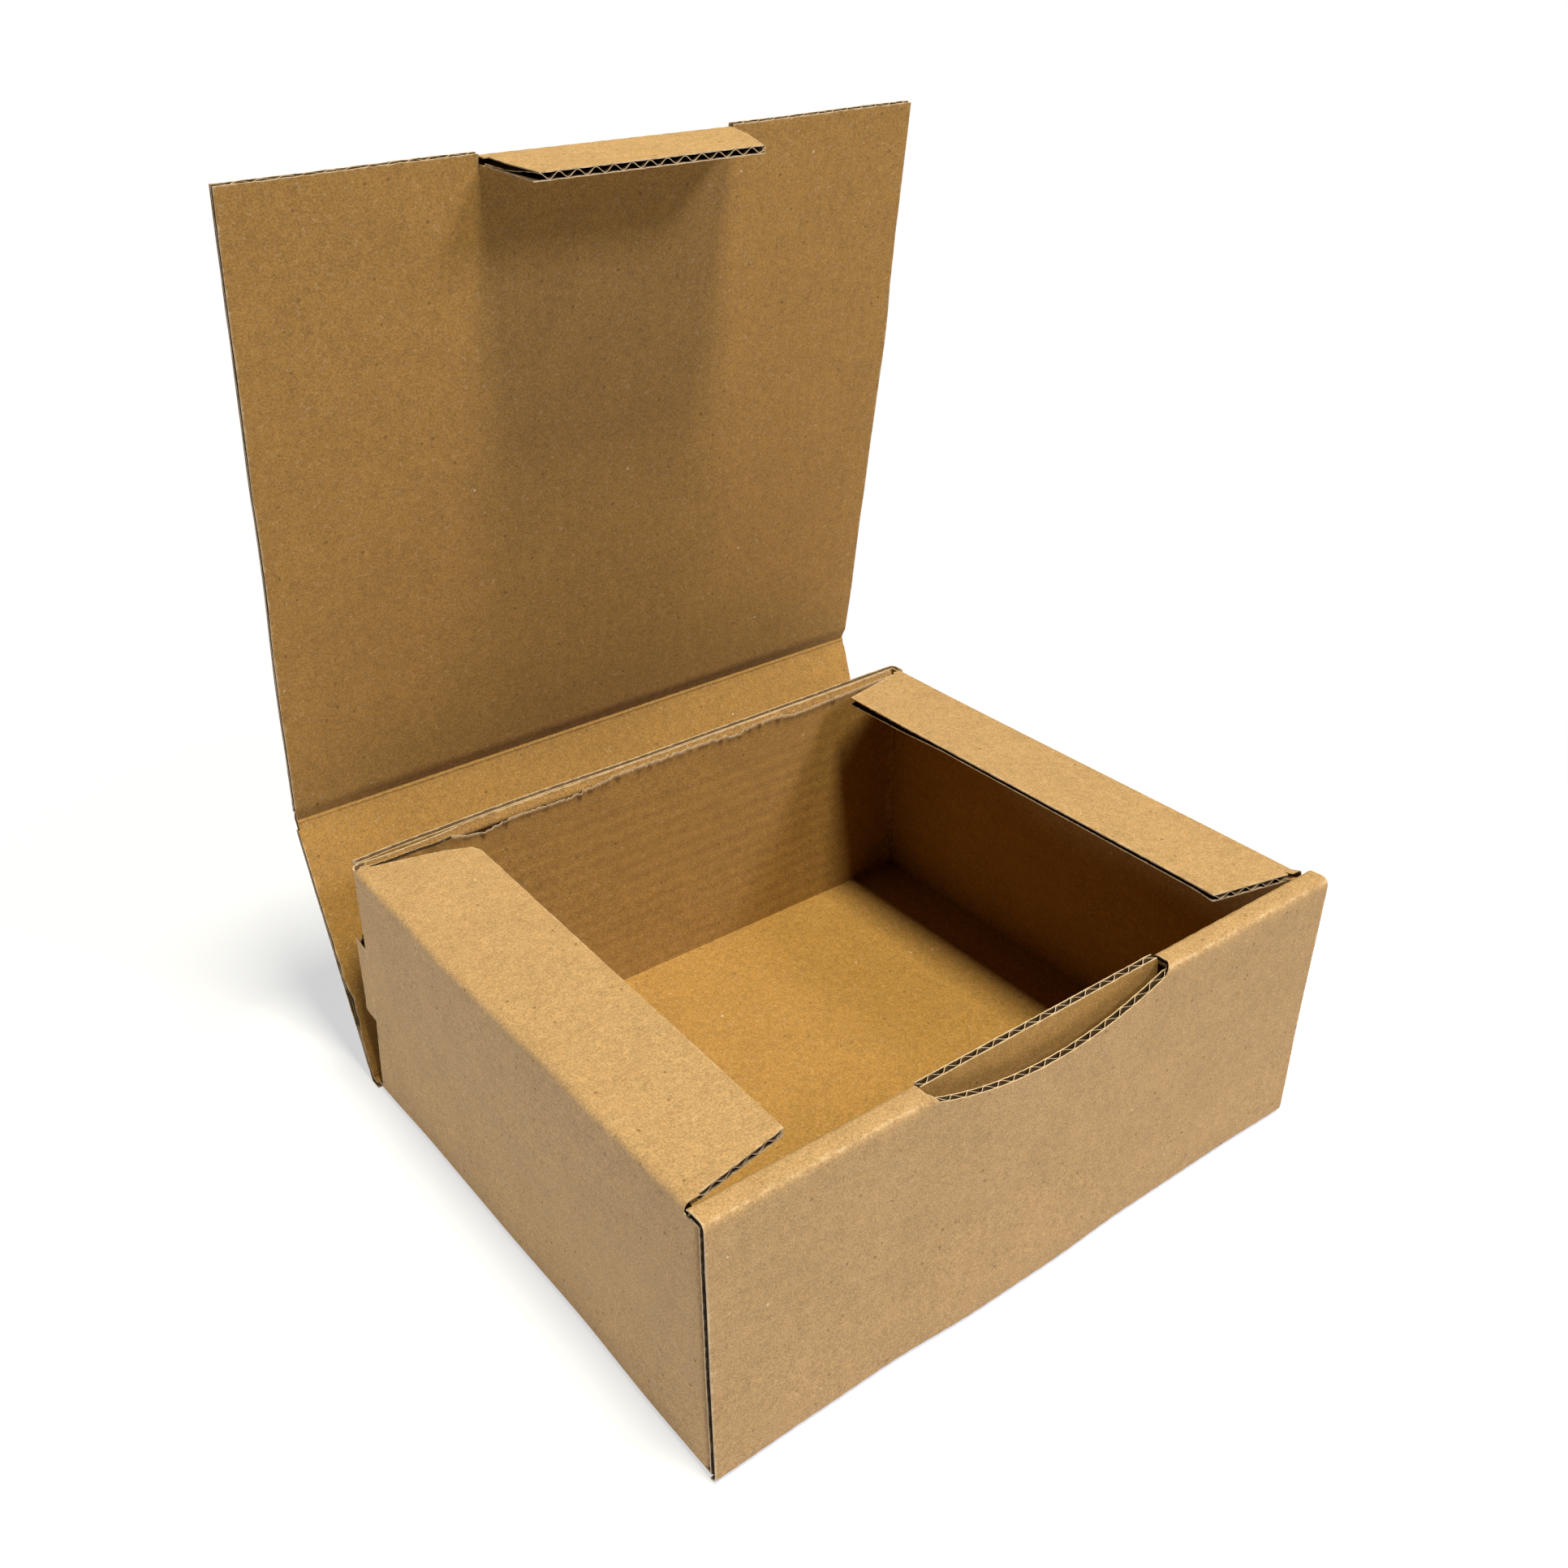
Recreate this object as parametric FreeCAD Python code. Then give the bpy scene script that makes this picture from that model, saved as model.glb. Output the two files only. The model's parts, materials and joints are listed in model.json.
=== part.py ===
import FreeCAD, Part
import math
import os

# Open mailing box, folded from one sheet of corrugated board, in millimetres.
# X runs along the front, Y to the back, Z up; the origin is the middle of the tray's underside.
# The lid side stands as it was left: back panel leaning out, lid panel leaning forward over it.

Vector = FreeCAD.Vector
ALONG_X = Vector(1, 0, 0)
ALONG_Y = Vector(0, 1, 0)
ALONG_Z = Vector(0, 0, 1)

# The board: two liners with a wavy medium between them
board = 2.8
liner = 0.4
medium = 0.35
flute_pitch = 6.4
flute_mouth = 4.8
flute_tip = 1.2
crush = 3.0
open_edge = 1.6

# Clearances
layer_gap = 0.3
hinge_gap = 0.4
tab_play = 1.3

# Tray
tray_width = 250.0
tray_depth = 216.5
tray_height = 99.0
front_slot = 3.4
fold_radius = 2.0
corner_tab = 66.0
corner_tab_taper = 8.0

# Finger notch in the rolled front
notch_depth = 12.0

# Locking lugs at the rear edges of the side walls
lug_low = 33.0
lug_height = 32.0
lug_reach = 5.5

# Dust flaps
flap_width = 38.5
flap_slant = 8.0
flap_front_play = 0.5
flap_rear_play = 0.5
left_flap_raise = 2.7
right_flap_raise = 3.7

# Back panel, lid panel and tuck flap: what the cover needs beyond the tray it closes
cover_overhang = 1.0
back_allowance = 4.5
lid_allowance = 5.3
lid_brow = 1.2
tuck_root = 95.4
tuck_tip = 86.0
tuck_length = 26.6
back_lean = 18.9
lid_lean = 9.0
tuck_drop = 3.3

# Lean of a panel that lies level, pointing to the front
LEVEL = 90

# Places that follow from the sizes
cover_width = tray_width + 2 * cover_overhang
back_length = tray_height + back_allowance
lid_length = tray_depth + lid_allowance
half_board = board / 2
half_width = tray_width / 2
front = -tray_depth / 2
rear = tray_depth / 2
wall_inside = half_width - board
slot_start = front + board
slot_end = slot_start + front_slot
roll_end = slot_end + board
corner_line = slot_start + layer_gap
inner_rear_out = rear - board - layer_gap
inner_rear_in = inner_rear_out - board
floor_top = board + layer_gap
roll_underside = tray_height - board
flap_axis_z = tray_height - half_board
wall_top = flap_axis_z - half_board - layer_gap
flap_axis_x = half_width - half_board
lug_top = lug_low + lug_height
lug_tip = inner_rear_out + lug_reach
notch_half = tuck_root / 2 + tab_play
flap_front = roll_end + flap_front_play
flap_rear = inner_rear_in - flap_rear_play
back_axis = Vector(0, rear + layer_gap + half_board, half_board)


def block(x0, x1, y0, y1, z0, z1):
    """A box between two corners."""
    return Part.makeBox(x1 - x0, y1 - y0, z1 - z0, Vector(x0, y0, z0))


def plate(outline, low, high):
    """A flat board with the given outline in XY, from height low to height high."""
    points = [Vector(x, y, low) for x, y in outline]
    face = Part.Face(Part.makePolygon(points + points[:1]))
    return face.extrude(Vector(0, 0, high - low))


def placed(shape, origin, across, along):
    """The shape with its local X turned to across, its local Y to along, and moved to origin."""
    turn = FreeCAD.Rotation(across, along, across.cross(along), "XYZ")
    copy = shape.copy()
    copy.Placement = FreeCAD.Placement(origin, turn)
    return copy


def channel(u, v0, v1, mouth, tip):
    """One hollow of the corrugation along Y, wide at one liner and narrow at the other."""
    corners = [
        Vector(u - flute_mouth / 2, v0, mouth),
        Vector(u + flute_mouth / 2, v0, mouth),
        Vector(u + flute_tip / 2, v0, tip),
        Vector(u - flute_tip / 2, v0, tip),
    ]
    face = Part.Face(Part.makePolygon(corners + corners[:1]))
    return face.extrude(Vector(0, v1 - v0, 0))


def flutes(u0, u1, v0, v1):
    """The hollows on both sides of the wavy medium that fit from u0 to u1, in a board centred on z = 0."""
    low = liner - half_board
    high = half_board - liner
    row = flute_pitch / 2
    count = math.floor((u1 - u0 - 2 * liner - flute_mouth) / row) + 1
    first = (u0 + u1 - (count - 1) * row) / 2
    hollows = []
    for step in range(count):
        u = first + step * row
        if step % 2:
            hollows.append(channel(u, v0, v1, high, low + medium))
        else:
            hollows.append(channel(u, v0, v1, low, high - medium))
    return Part.makeCompound(hollows)


def round_over(start, run, side_a, side_b):
    """What a fold's outer corner loses: a square bar less the round of the fold."""
    length = run.Length
    corner = start + side_a * fold_radius + side_b * fold_radius
    square = placed(Part.makeBox(fold_radius, fold_radius, length), start, side_a, side_b)
    if side_a.cross(side_b).dot(run) < 0:
        square.translate(run)
    return square.cut(Part.makeCylinder(fold_radius, length, corner, run))


def tray_folds():
    """The outer corners of the folds, rounded where the outer liner turns."""
    side_run = Vector(0, inner_rear_out - corner_line, 0)
    long_run = Vector(0, rear - corner_line, 0)
    front_run = Vector(tray_width, 0, 0)
    up_run = Vector(0, 0, wall_top)
    left = -half_width
    right = half_width
    return [
        round_over(Vector(left, corner_line, 0), side_run, ALONG_X, ALONG_Z),
        round_over(Vector(right, corner_line, 0), long_run, -ALONG_X, ALONG_Z),
        round_over(Vector(left, front, 0), front_run, ALONG_Y, ALONG_Z),
        round_over(Vector(left, front, tray_height), front_run, ALONG_Y, -ALONG_Z),
        round_over(Vector(left, roll_end, tray_height), front_run, -ALONG_Y, -ALONG_Z),
        round_over(Vector(left, corner_line, board), up_run, ALONG_X, ALONG_Y),
        round_over(Vector(right, corner_line, board), up_run, -ALONG_X, ALONG_Y),
        round_over(Vector(left, inner_rear_out, board), up_run, ALONG_X, -ALONG_Y),
        round_over(Vector(right, rear, board), up_run, -ALONG_X, -ALONG_Y),
    ]


def front_wall():
    """Outer front panel, rolled top and the inner front panel tucked down behind it."""
    outer = block(-half_width, half_width, front, slot_start, 0, tray_height)
    roll = block(-half_width, half_width, front, roll_end, roll_underside, tray_height)
    reach = wall_inside - layer_gap
    inner = block(-reach, reach, slot_end, roll_end, floor_top, tray_height)
    return [outer, roll, inner]


def corner_flap(side):
    """The side wall's front tab, folded in between the outer and the inner front panel."""
    top = roll_underside - layer_gap
    end = half_width - corner_tab
    outline = [
        (side * half_width, floor_top),
        (side * half_width, top),
        (side * (end + corner_tab_taper), top),
        (side * end, top - corner_tab_taper),
        (side * end, floor_top + corner_tab_taper),
        (side * (end + corner_tab_taper), floor_top),
    ]
    flat = plate(outline, 0, board)
    return placed(flat, Vector(0, corner_line + board, 0), ALONG_X, ALONG_Z)


def rear_wall():
    """Two layers: the left wall's tab inside, the right wall's tab outside it."""
    reach = wall_inside - layer_gap
    inner = block(-half_width, reach, inner_rear_in, inner_rear_out, floor_top, tray_height)
    outer = block(-half_width, half_width, rear - board, rear, floor_top, tray_height)
    return [inner, outer]


def lugs():
    """Locking lugs that stay in the plane of the side walls where the rear tabs fold away."""
    left = block(-half_width, -wall_inside, inner_rear_out - board, lug_tip, lug_low, lug_top)
    right = block(wall_inside, half_width, rear - board, lug_tip, lug_low, lug_top)
    return [left, right]


def lug_holes():
    """What the lugs leave in the rear tabs, and the notch that lets the left lug out."""
    left_end = -wall_inside + lug_reach - board
    right_end = wall_inside - (lug_tip - rear)
    return [
        block(-wall_inside, left_end, inner_rear_in, inner_rear_out, lug_low, lug_top),
        block(right_end, wall_inside, rear - board, rear, lug_low, lug_top),
        block(-half_width, layer_gap - wall_inside, rear - board, rear,
              lug_low - layer_gap, lug_top + layer_gap),
    ]


def finger_notch():
    """The arc through the outer front panel and the straight cut through the roll."""
    ends = notch_half
    low = Vector(0, front, tray_height - notch_depth)
    left = Vector(-ends, front, tray_height)
    right = Vector(ends, front, tray_height)
    arc = Part.Arc(left, low, right).toShape()
    lid_line = Part.makeLine(right, left)
    face = Part.Face(Part.Wire([arc, lid_line]))
    bite = face.extrude(Vector(0, slot_end - front, 0))
    over = block(-ends, ends, front, slot_end, roll_underside, tray_height)
    return [bite, over]


def tray_flutes():
    """Open flute ends at the notch and at the rear tab."""
    mid_outer = Vector(0, front + half_board, 0)
    mid_inner = Vector(0, slot_end + half_board, 0)
    mid_rear = Vector(0, rear - half_board, 0)
    outer = flutes(-notch_half, notch_half, board + crush, tray_height)
    inner = flutes(-notch_half, notch_half, floor_top, tray_height)
    tab = flutes(floor_top, tray_height - open_edge, -half_width, wall_inside - crush)
    return [
        placed(outer, mid_outer, ALONG_X, ALONG_Z),
        placed(inner, mid_inner, ALONG_X, ALONG_Z),
        placed(tab, mid_rear, ALONG_Z, ALONG_X),
    ]


def tray_open_edges():
    """The gaps between the liners at the front panel's side edges and along the rear wall's top."""
    cuts = []
    for side in (-1, 1):
        x0, x1 = sorted((side * (half_width - open_edge), side * half_width))
        cuts.append(block(x0, x1, front + liner, slot_start - liner, board, roll_underside))
        cuts.append(block(x0, x1, slot_start, roll_end - board,
                          roll_underside + liner, tray_height - liner))
    left = fold_radius - half_width
    right = wall_inside - crush
    for back in (inner_rear_out, rear):
        cuts.append(block(left, right, back - board + liner, back - liner,
                          tray_height - open_edge, tray_height))
    return cuts


def make_tray():
    """Base, side walls, rolled front and double rear wall, all one folded sheet."""
    base = block(-half_width, half_width, front, rear, 0, board)
    left = block(-half_width, -wall_inside, corner_line, inner_rear_out, 0, wall_top)
    right = block(wall_inside, half_width, corner_line, rear, 0, wall_top)
    parts = [left, right] + front_wall() + rear_wall() + [corner_flap(-1), corner_flap(1)]
    tray = base.multiFuse(parts).removeSplitter()
    tray = tray.cut(Part.makeCompound(lug_holes()))
    tray = tray.multiFuse(lugs())
    tray = tray.cut(Part.makeCompound(tray_folds()))
    tray = tray.cut(finger_notch())
    return tray.cut(tray_flutes() + tray_open_edges())


def lean(angle):
    """Up direction of a panel that leans forward by angle degrees."""
    turn = math.radians(angle)
    return Vector(0, -math.sin(turn), math.cos(turn))


def nose(length, along):
    """The full round edge on which a panel turns in its crease."""
    return Part.makeCylinder(half_board, length, along * (-length / 2), along)


def panel(outline):
    """A board centred on z = 0."""
    return plate(outline, -half_board, half_board)


def edge_grooves(half, start, end):
    """The gap between the liners along both side edges, where the flutes are cut lengthwise."""
    return [
        block(-half, open_edge - half, start, end, liner - half_board, half_board - liner),
        block(half - open_edge, half, start, end, liner - half_board, half_board - liner),
    ]


def make_back_panel():
    """The panel behind the rear wall, creased to the base below and to the lid panel above."""
    half = cover_width / 2
    top = back_length - half_board - hinge_gap
    sheet = panel([(-half, 0), (half, 0), (half, top), (-half, top)])
    sheet = sheet.fuse(nose(cover_width, ALONG_X)).removeSplitter()
    sheet = sheet.cut(edge_grooves(half, crush, top - crush))
    return placed(sheet, back_axis, ALONG_X, lean(-back_lean))


def lid_axis():
    return back_axis + lean(-back_lean) * back_length


def make_lid_panel():
    """The top panel, with a step at its free edge where the tuck flap is creased on."""
    half = cover_width / 2
    top = lid_length + lid_brow
    seat = lid_length - half_board - hinge_gap
    gap = notch_half
    outline = [(-half, 0), (half, 0), (half, top), (gap, top), (gap, seat),
               (-gap, seat), (-gap, top), (-half, top)]
    sheet = panel(outline).fuse(nose(cover_width, ALONG_X)).removeSplitter()
    hollows = [
        flutes(open_edge - half, -gap, crush, top),
        flutes(gap, half - open_edge, crush, top),
    ]
    sheet = sheet.cut(hollows + edge_grooves(half, crush, top))
    return placed(sheet, lid_axis(), ALONG_X, lean(lid_lean))


def make_tuck_flap():
    """The tongue that tucks into the slot of the rolled front."""
    root = tuck_root / 2
    tip = tuck_tip / 2
    sheet = panel([(-root, 0), (root, 0), (tip, tuck_length), (-tip, tuck_length)])
    sheet = sheet.fuse(nose(tuck_root, ALONG_X)).removeSplitter()
    sheet = sheet.cut(flutes(-tip, tip, crush, tuck_length))
    axis = lid_axis() + lean(lid_lean) * lid_length
    return placed(sheet, axis, ALONG_X, lean(LEVEL + tuck_drop))


def make_dust_flap(side, raise_angle):
    """A flap along the top of a side wall, with slanted ends and flutes along its length."""
    low, high = sorted((-side * flap_front, -side * flap_rear))
    outline = [(0, low), (flap_width, low + flap_slant), (flap_width, high - flap_slant), (0, high)]
    sheet = panel(outline)
    edge = Part.makeCylinder(half_board, high - low, Vector(0, low, 0), ALONG_Y)
    sheet = sheet.fuse(edge).removeSplitter()
    hollows = flutes(crush, flap_width - open_edge, low, high)
    inner_edge = block(flap_width - open_edge, flap_width, low, high,
                       liner - half_board, half_board - liner)
    sheet = sheet.cut([hollows, inner_edge])
    turn = math.radians(raise_angle)
    across = Vector(-side * math.cos(turn), 0, math.sin(turn))
    return placed(sheet, Vector(side * flap_axis_x, 0, flap_axis_z), across, ALONG_Y * -side)


def main():
    os.makedirs("parts", exist_ok=True)
    nodes = {
        "tray": make_tray(),
        "back_panel": make_back_panel(),
        "lid_panel": make_lid_panel(),
        "tuck_flap": make_tuck_flap(),
        "left_dust_flap": make_dust_flap(-1, left_flap_raise),
        "right_dust_flap": make_dust_flap(1, right_flap_raise),
    }
    for name, shape in nodes.items():
        solids = shape.Solids
        box = shape.BoundBox
        print(name, "solids", len(solids), "valid", shape.isValid(), "volume", round(shape.Volume))
        print("  from", round(box.XMin, 2), round(box.YMin, 2), round(box.ZMin, 2),
              "to", round(box.XMax, 2), round(box.YMax, 2), round(box.ZMax, 2))
        solids[0].exportStep("parts/" + name + ".step")


main()
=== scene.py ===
import json
import math

import bmesh
import bpy
import numpy as np
from mathutils import Matrix, Vector, noise


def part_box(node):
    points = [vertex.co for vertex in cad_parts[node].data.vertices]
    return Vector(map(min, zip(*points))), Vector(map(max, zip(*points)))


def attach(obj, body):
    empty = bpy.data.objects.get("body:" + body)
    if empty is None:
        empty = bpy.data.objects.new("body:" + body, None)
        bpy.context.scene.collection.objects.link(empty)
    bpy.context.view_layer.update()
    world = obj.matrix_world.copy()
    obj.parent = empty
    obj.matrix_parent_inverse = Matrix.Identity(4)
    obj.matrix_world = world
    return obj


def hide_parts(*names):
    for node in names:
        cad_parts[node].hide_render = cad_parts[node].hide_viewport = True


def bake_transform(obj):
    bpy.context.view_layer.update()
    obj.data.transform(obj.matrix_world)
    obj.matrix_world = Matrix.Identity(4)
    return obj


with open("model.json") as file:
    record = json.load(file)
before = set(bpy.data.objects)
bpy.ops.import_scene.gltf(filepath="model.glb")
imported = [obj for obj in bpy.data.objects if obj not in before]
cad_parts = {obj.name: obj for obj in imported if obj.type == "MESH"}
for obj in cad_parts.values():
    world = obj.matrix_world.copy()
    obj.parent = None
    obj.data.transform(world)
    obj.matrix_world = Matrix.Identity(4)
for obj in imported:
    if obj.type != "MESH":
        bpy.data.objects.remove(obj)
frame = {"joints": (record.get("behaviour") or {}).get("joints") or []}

bl_info = {
    "name": "Open mailing box of corrugated board",
    "version": (1, 0, 0),
    "blender": (4, 5, 0),
    "location": "3D View > Sidebar > Mailing box",
    "description": "Builds the liners, fluting, creases and torn edges of an open mailing box",
    "category": "Object",
}

MM = 0.001
X_AXIS = Vector((1, 0, 0))
Y_AXIS = Vector((0, 1, 0))
Z_AXIS = Vector((0, 0, 1))

# Places that the frame gives: the tray's corners, and each crease's axis and travel
JOINTS = {joint["name"]: joint for joint in frame["joints"]}
BACK_AXIS = Vector(JOINTS["back_crease"]["pos_m"])
LID_AXIS = Vector(JOINTS["lid_crease"]["pos_m"])
TUCK_AXIS = Vector(JOINTS["tuck_crease"]["pos_m"])
TRAY_LOW, TRAY_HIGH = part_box("tray")
LID_LOW, LID_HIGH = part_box("lid_panel")
HALF_WIDTH = TRAY_HIGH.x
FRONT = TRAY_LOW.y
REAR = -FRONT
TOP = TRAY_HIGH.z
COVER_HALF = LID_HIGH.x
BACK_UP = (LID_AXIS - BACK_AXIS).normalized()
LID_UP = (TUCK_AXIS - LID_AXIS).normalized()
TUCK_OUT = Matrix.Rotation(math.radians(JOINTS["tuck_crease"]["range_deg"][1]), 3, "X") @ LID_UP
BACK_LENGTH = (LID_AXIS - BACK_AXIS).length
LID_LENGTH = (TUCK_AXIS - LID_AXIS).length
FLAP_JOINTS = {-1: "left_flap_crease", 1: "right_flap_crease"}

# How the paper is divided: rows along a board, the narrow last row at a cut edge, columns to a flute
ROW = 10.0 * MM
EDGE_ROW = 0.8 * MM
LINER_COLUMNS = 6
FLUTING_COLUMNS = 8
FOLD_STEPS = 6

# Gap between layers that lie on each other, and the board that a moving crease takes up on each side
LAYER_GAP = 0.3 * MM
LEAD = 4.0 * MM
# what lies on a line of the sheet is found within this
SLACK = 0.1 * MM

# (strength of the grain's colours, strength of its relief) of each finish
FINISHES = {
    "outside": (1.0, 0.6),
    "inside": (1.0, 0.6),
    "fluting": (0.8, 0.3),
    "cut": (1.2, 0.5),
    "torn": (1.4, 0.8),
    # dark finish of the liners' sides within the board: painted shade of the flute cells
    "hollow_painted_shade": (0.8, 0.3),
}


class BoardSizes(bpy.types.PropertyGroup):
    """Sizes of the corrugated board itself."""
    board: bpy.props.FloatProperty(
        name="Board", description="Thickness of the whole board", default=2.8 * MM, unit="LENGTH")
    liner: bpy.props.FloatProperty(
        name="Liner", description="Thickness of each liner", default=0.34 * MM, unit="LENGTH")
    fluting: bpy.props.FloatProperty(
        name="Fluting", description="Thickness of the wavy paper", default=0.2 * MM, unit="LENGTH")
    pitch: bpy.props.FloatProperty(
        name="Flute pitch", description="From one wave to the next", default=6.4 * MM, unit="LENGTH")
    washboard: bpy.props.FloatProperty(
        name="Washboard", description="How far the liners sink between the waves",
        default=0.08 * MM, unit="LENGTH")
    crease: bpy.props.FloatProperty(
        name="Crease", description="Width of a crease on the flat sheet", default=1.2 * MM, unit="LENGTH")
    neutral: bpy.props.FloatProperty(
        name="Neutral depth", description="Depth at which a fold neither stretches nor shortens",
        default=2.0 * MM, unit="LENGTH")
    fray: bpy.props.FloatProperty(
        name="Fray", description="Unevenness of the cut edges", default=0.16 * MM, unit="LENGTH")


class BoxSizes(bpy.types.PropertyGroup):
    """Sizes of the box's cuts and of how it has settled."""
    notch_half: bpy.props.FloatProperty(
        name="Notch half width", description="Half the finger notch", default=50 * MM, unit="LENGTH")
    notch_depth: bpy.props.FloatProperty(
        name="Notch depth", description="Depth of the finger notch", default=12 * MM, unit="LENGTH")
    notch_shift: bpy.props.FloatProperty(
        name="Notch shift", description="How far the finger notch sits to the right",
        default=2.0 * MM, unit="LENGTH")
    corner_tab: bpy.props.FloatProperty(
        name="Corner tab", description="Length of the tabs in the front slot", default=66 * MM, unit="LENGTH")
    flap_width: bpy.props.FloatProperty(
        name="Dust flap", description="Width of a dust flap", default=38.5 * MM, unit="LENGTH")
    rear_lean: bpy.props.FloatProperty(
        name="Rear lean", description="How much of the rear wall's lean at its top is taken up",
        default=1.0, min=0, max=2)
    side_flare: bpy.props.FloatProperty(
        name="Side flare", description="How far the right wall stands out at the front",
        default=2.2 * MM, unit="LENGTH")
    front_flare: bpy.props.FloatProperty(
        name="Front flare", description="How far the front panel stands out at its top right corner",
        default=5.6 * MM, unit="LENGTH")
    cover_shift: bpy.props.FloatProperty(
        name="Cover shift", description="How far the cover sits to the side",
        default=-1.3 * MM, unit="LENGTH")


class KraftColours(bpy.types.PropertyGroup):
    """Colours of the paper layers."""
    outside: bpy.props.FloatVectorProperty(
        name="Outside", description="Outer liner", subtype="COLOR", size=3, default=(0.342, 0.216, 0.097))
    inside: bpy.props.FloatVectorProperty(
        name="Inside", description="Inner liner", subtype="COLOR", size=3, default=(0.304, 0.167, 0.0445))
    # the wavy paper's colour is darkened: painted shade of the cells between the liners
    fluting: bpy.props.FloatVectorProperty(
        name="Fluting", description="Wavy paper", subtype="COLOR", size=3, default=(0.094, 0.055, 0.024))
    cut: bpy.props.FloatVectorProperty(
        name="Cut edge", description="Cut edges of the paper", subtype="COLOR", size=3,
        default=(0.45, 0.324, 0.194))
    torn: bpy.props.FloatVectorProperty(
        name="Torn", description="Where a liner's face is torn off", subtype="COLOR", size=3,
        default=(0.238, 0.13, 0.04))
    # painted shade: the liners' sides within the board are dark so that the flute cells look shaded
    hollow_painted_shade: bpy.props.FloatVectorProperty(
        name="Within the board", description="Painted shade on the sides of the liners between the waves", subtype="COLOR",
        size=3, default=(0.058, 0.032, 0.013))
    floor: bpy.props.FloatVectorProperty(
        name="Floor", description="Floor and backdrop", subtype="COLOR", size=3, default=(0.76, 0.80, 0.96))


def board_sizes():
    return bpy.context.scene.mailing_board


def box_sizes():
    return bpy.context.scene.mailing_box


def colours():
    return bpy.context.scene.mailing_colours


def smooth(value, low, high):
    """0 below low, 1 above high, and an even slope between them, for arrays too."""
    share = np.clip((np.asarray(value, float) - low) / (high - low), 0, 1)
    return share * share * (3 - 2 * share)


def in_mm(*points):
    """A curve's (place, offset) points, written in millimetres."""
    return [(place * MM, offset * MM) for place, offset in points]


def along_points(value, points):
    """A smooth curve through a few (place, offset) points, held level past the ends."""
    spots, offsets = np.array(points).T
    index = np.clip(np.searchsorted(spots, value) - 1, 0, len(points) - 2)
    share = np.clip((value - spots[index]) / (spots[index + 1] - spots[index]), 0, 1)
    share = share * share * (3 - 2 * share)
    return offsets[index] + (offsets[index + 1] - offsets[index]) * share


# Selecting, placing and turning


def activate(piece):
    """Object mode with only this piece selected and active."""
    if bpy.context.object and bpy.context.object.mode != "OBJECT":
        bpy.ops.object.mode_set(mode="OBJECT")
    bpy.ops.object.select_all(action="DESELECT")
    piece.select_set(True)
    bpy.context.view_layer.objects.active = piece


def places(piece):
    """The vertices' places as an array."""
    found = np.zeros(len(piece.data.vertices) * 3)
    piece.data.vertices.foreach_get("co", found)
    return found.reshape(-1, 3)


def put_places(piece, where):
    piece.data.vertices.foreach_set("co", np.ascontiguousarray(where, float).ravel())
    piece.data.update()


def delete_faces(piece, inside):
    """Deletes the faces whose centre passes the test."""
    activate(piece)
    bpy.ops.object.mode_set(mode="EDIT")
    bpy.ops.mesh.select_mode(type="FACE")
    bpy.ops.mesh.select_all(action="DESELECT")
    shape = bmesh.from_edit_mesh(piece.data)
    for face in shape.faces:
        face.select_set(bool(inside(face.calc_center_median())))
    bmesh.update_edit_mesh(piece.data)
    bpy.ops.mesh.delete(type="FACE")
    bpy.ops.mesh.select_mode(type="VERT")
    bpy.ops.object.mode_set(mode="OBJECT")


def mark_wear(layer, amounts):
    """Keeps how worn each vertex is, for the finishes to read; the creases' painted highlight is later added
    to the same values.
    """
    wear_and_highlight = layer.data.attributes.new("wear_and_highlight", "FLOAT", "POINT")
    wear_and_highlight.data.foreach_set("value", amounts.astype(np.float32))


def mark_paper(layer, share=1.0):
    """Keeps the paper's thickness as a share of the liner's."""
    group = layer.vertex_groups.new(name="paper")
    group.add(list(range(len(layer.data.vertices))), share, "REPLACE")
    return group


def trim(piece, point, outward):
    """Cuts off what lies past a plane."""
    activate(piece)
    bpy.ops.object.mode_set(mode="EDIT")
    bpy.ops.mesh.select_all(action="SELECT")
    bpy.ops.mesh.bisect(plane_co=point, plane_no=outward, clear_outer=True)
    bpy.ops.object.mode_set(mode="OBJECT")


def edge_mask(piece):
    """True for the vertices on the sheet's cut edges."""
    activate(piece)
    bpy.ops.object.mode_set(mode="EDIT")
    bpy.ops.mesh.select_mode(type="VERT")
    bpy.ops.mesh.select_all(action="DESELECT")
    bpy.ops.mesh.select_non_manifold(extend=False, use_wire=False, use_boundary=True,
                                     use_multi_face=False, use_non_contiguous=False, use_verts=False)
    bpy.ops.object.mode_set(mode="OBJECT")
    found = np.zeros(len(piece.data.vertices), bool)
    piece.data.vertices.foreach_get("select", found)
    return found


def turn_about(pivot, angle, axis):
    """The move that turns by an angle about an axis letter through a point."""
    return Matrix.Translation(pivot) @ Matrix.Rotation(angle, 4, axis) @ Matrix.Translation(-pivot)


def fold(piece, flat, start, side, angle, axis, pivot_of, turned):
    """Folds what lies past a line of the flat sheet, in small turns spread over the crease's width."""
    width = board_sizes().crease
    small = angle / FOLD_STEPS
    activate(piece)
    bpy.ops.object.mode_set(mode="EDIT")
    for step in range(FOLD_STEPS):
        line = start + side * width * (step + 0.5) / FOLD_STEPS
        pivot = turned @ pivot_of(line)
        moving = side * (flat - line) > 0
        bpy.ops.mesh.select_all(action="DESELECT")
        shape = bmesh.from_edit_mesh(piece.data)
        shape.verts.ensure_lookup_table()
        for vert, moves in zip(shape.verts, moving):
            vert.select_set(bool(moves))
        shape.select_flush_mode()
        bmesh.update_edit_mesh(piece.data)
        # without a window this operator turns the other way
        bpy.ops.transform.rotate(value=-small, orient_axis=axis, orient_type="GLOBAL", center_override=pivot)
        turned = turn_about(pivot, small, axis) @ turned
    bpy.ops.object.mode_set(mode="OBJECT")
    return turned


# The flat sheet


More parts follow.
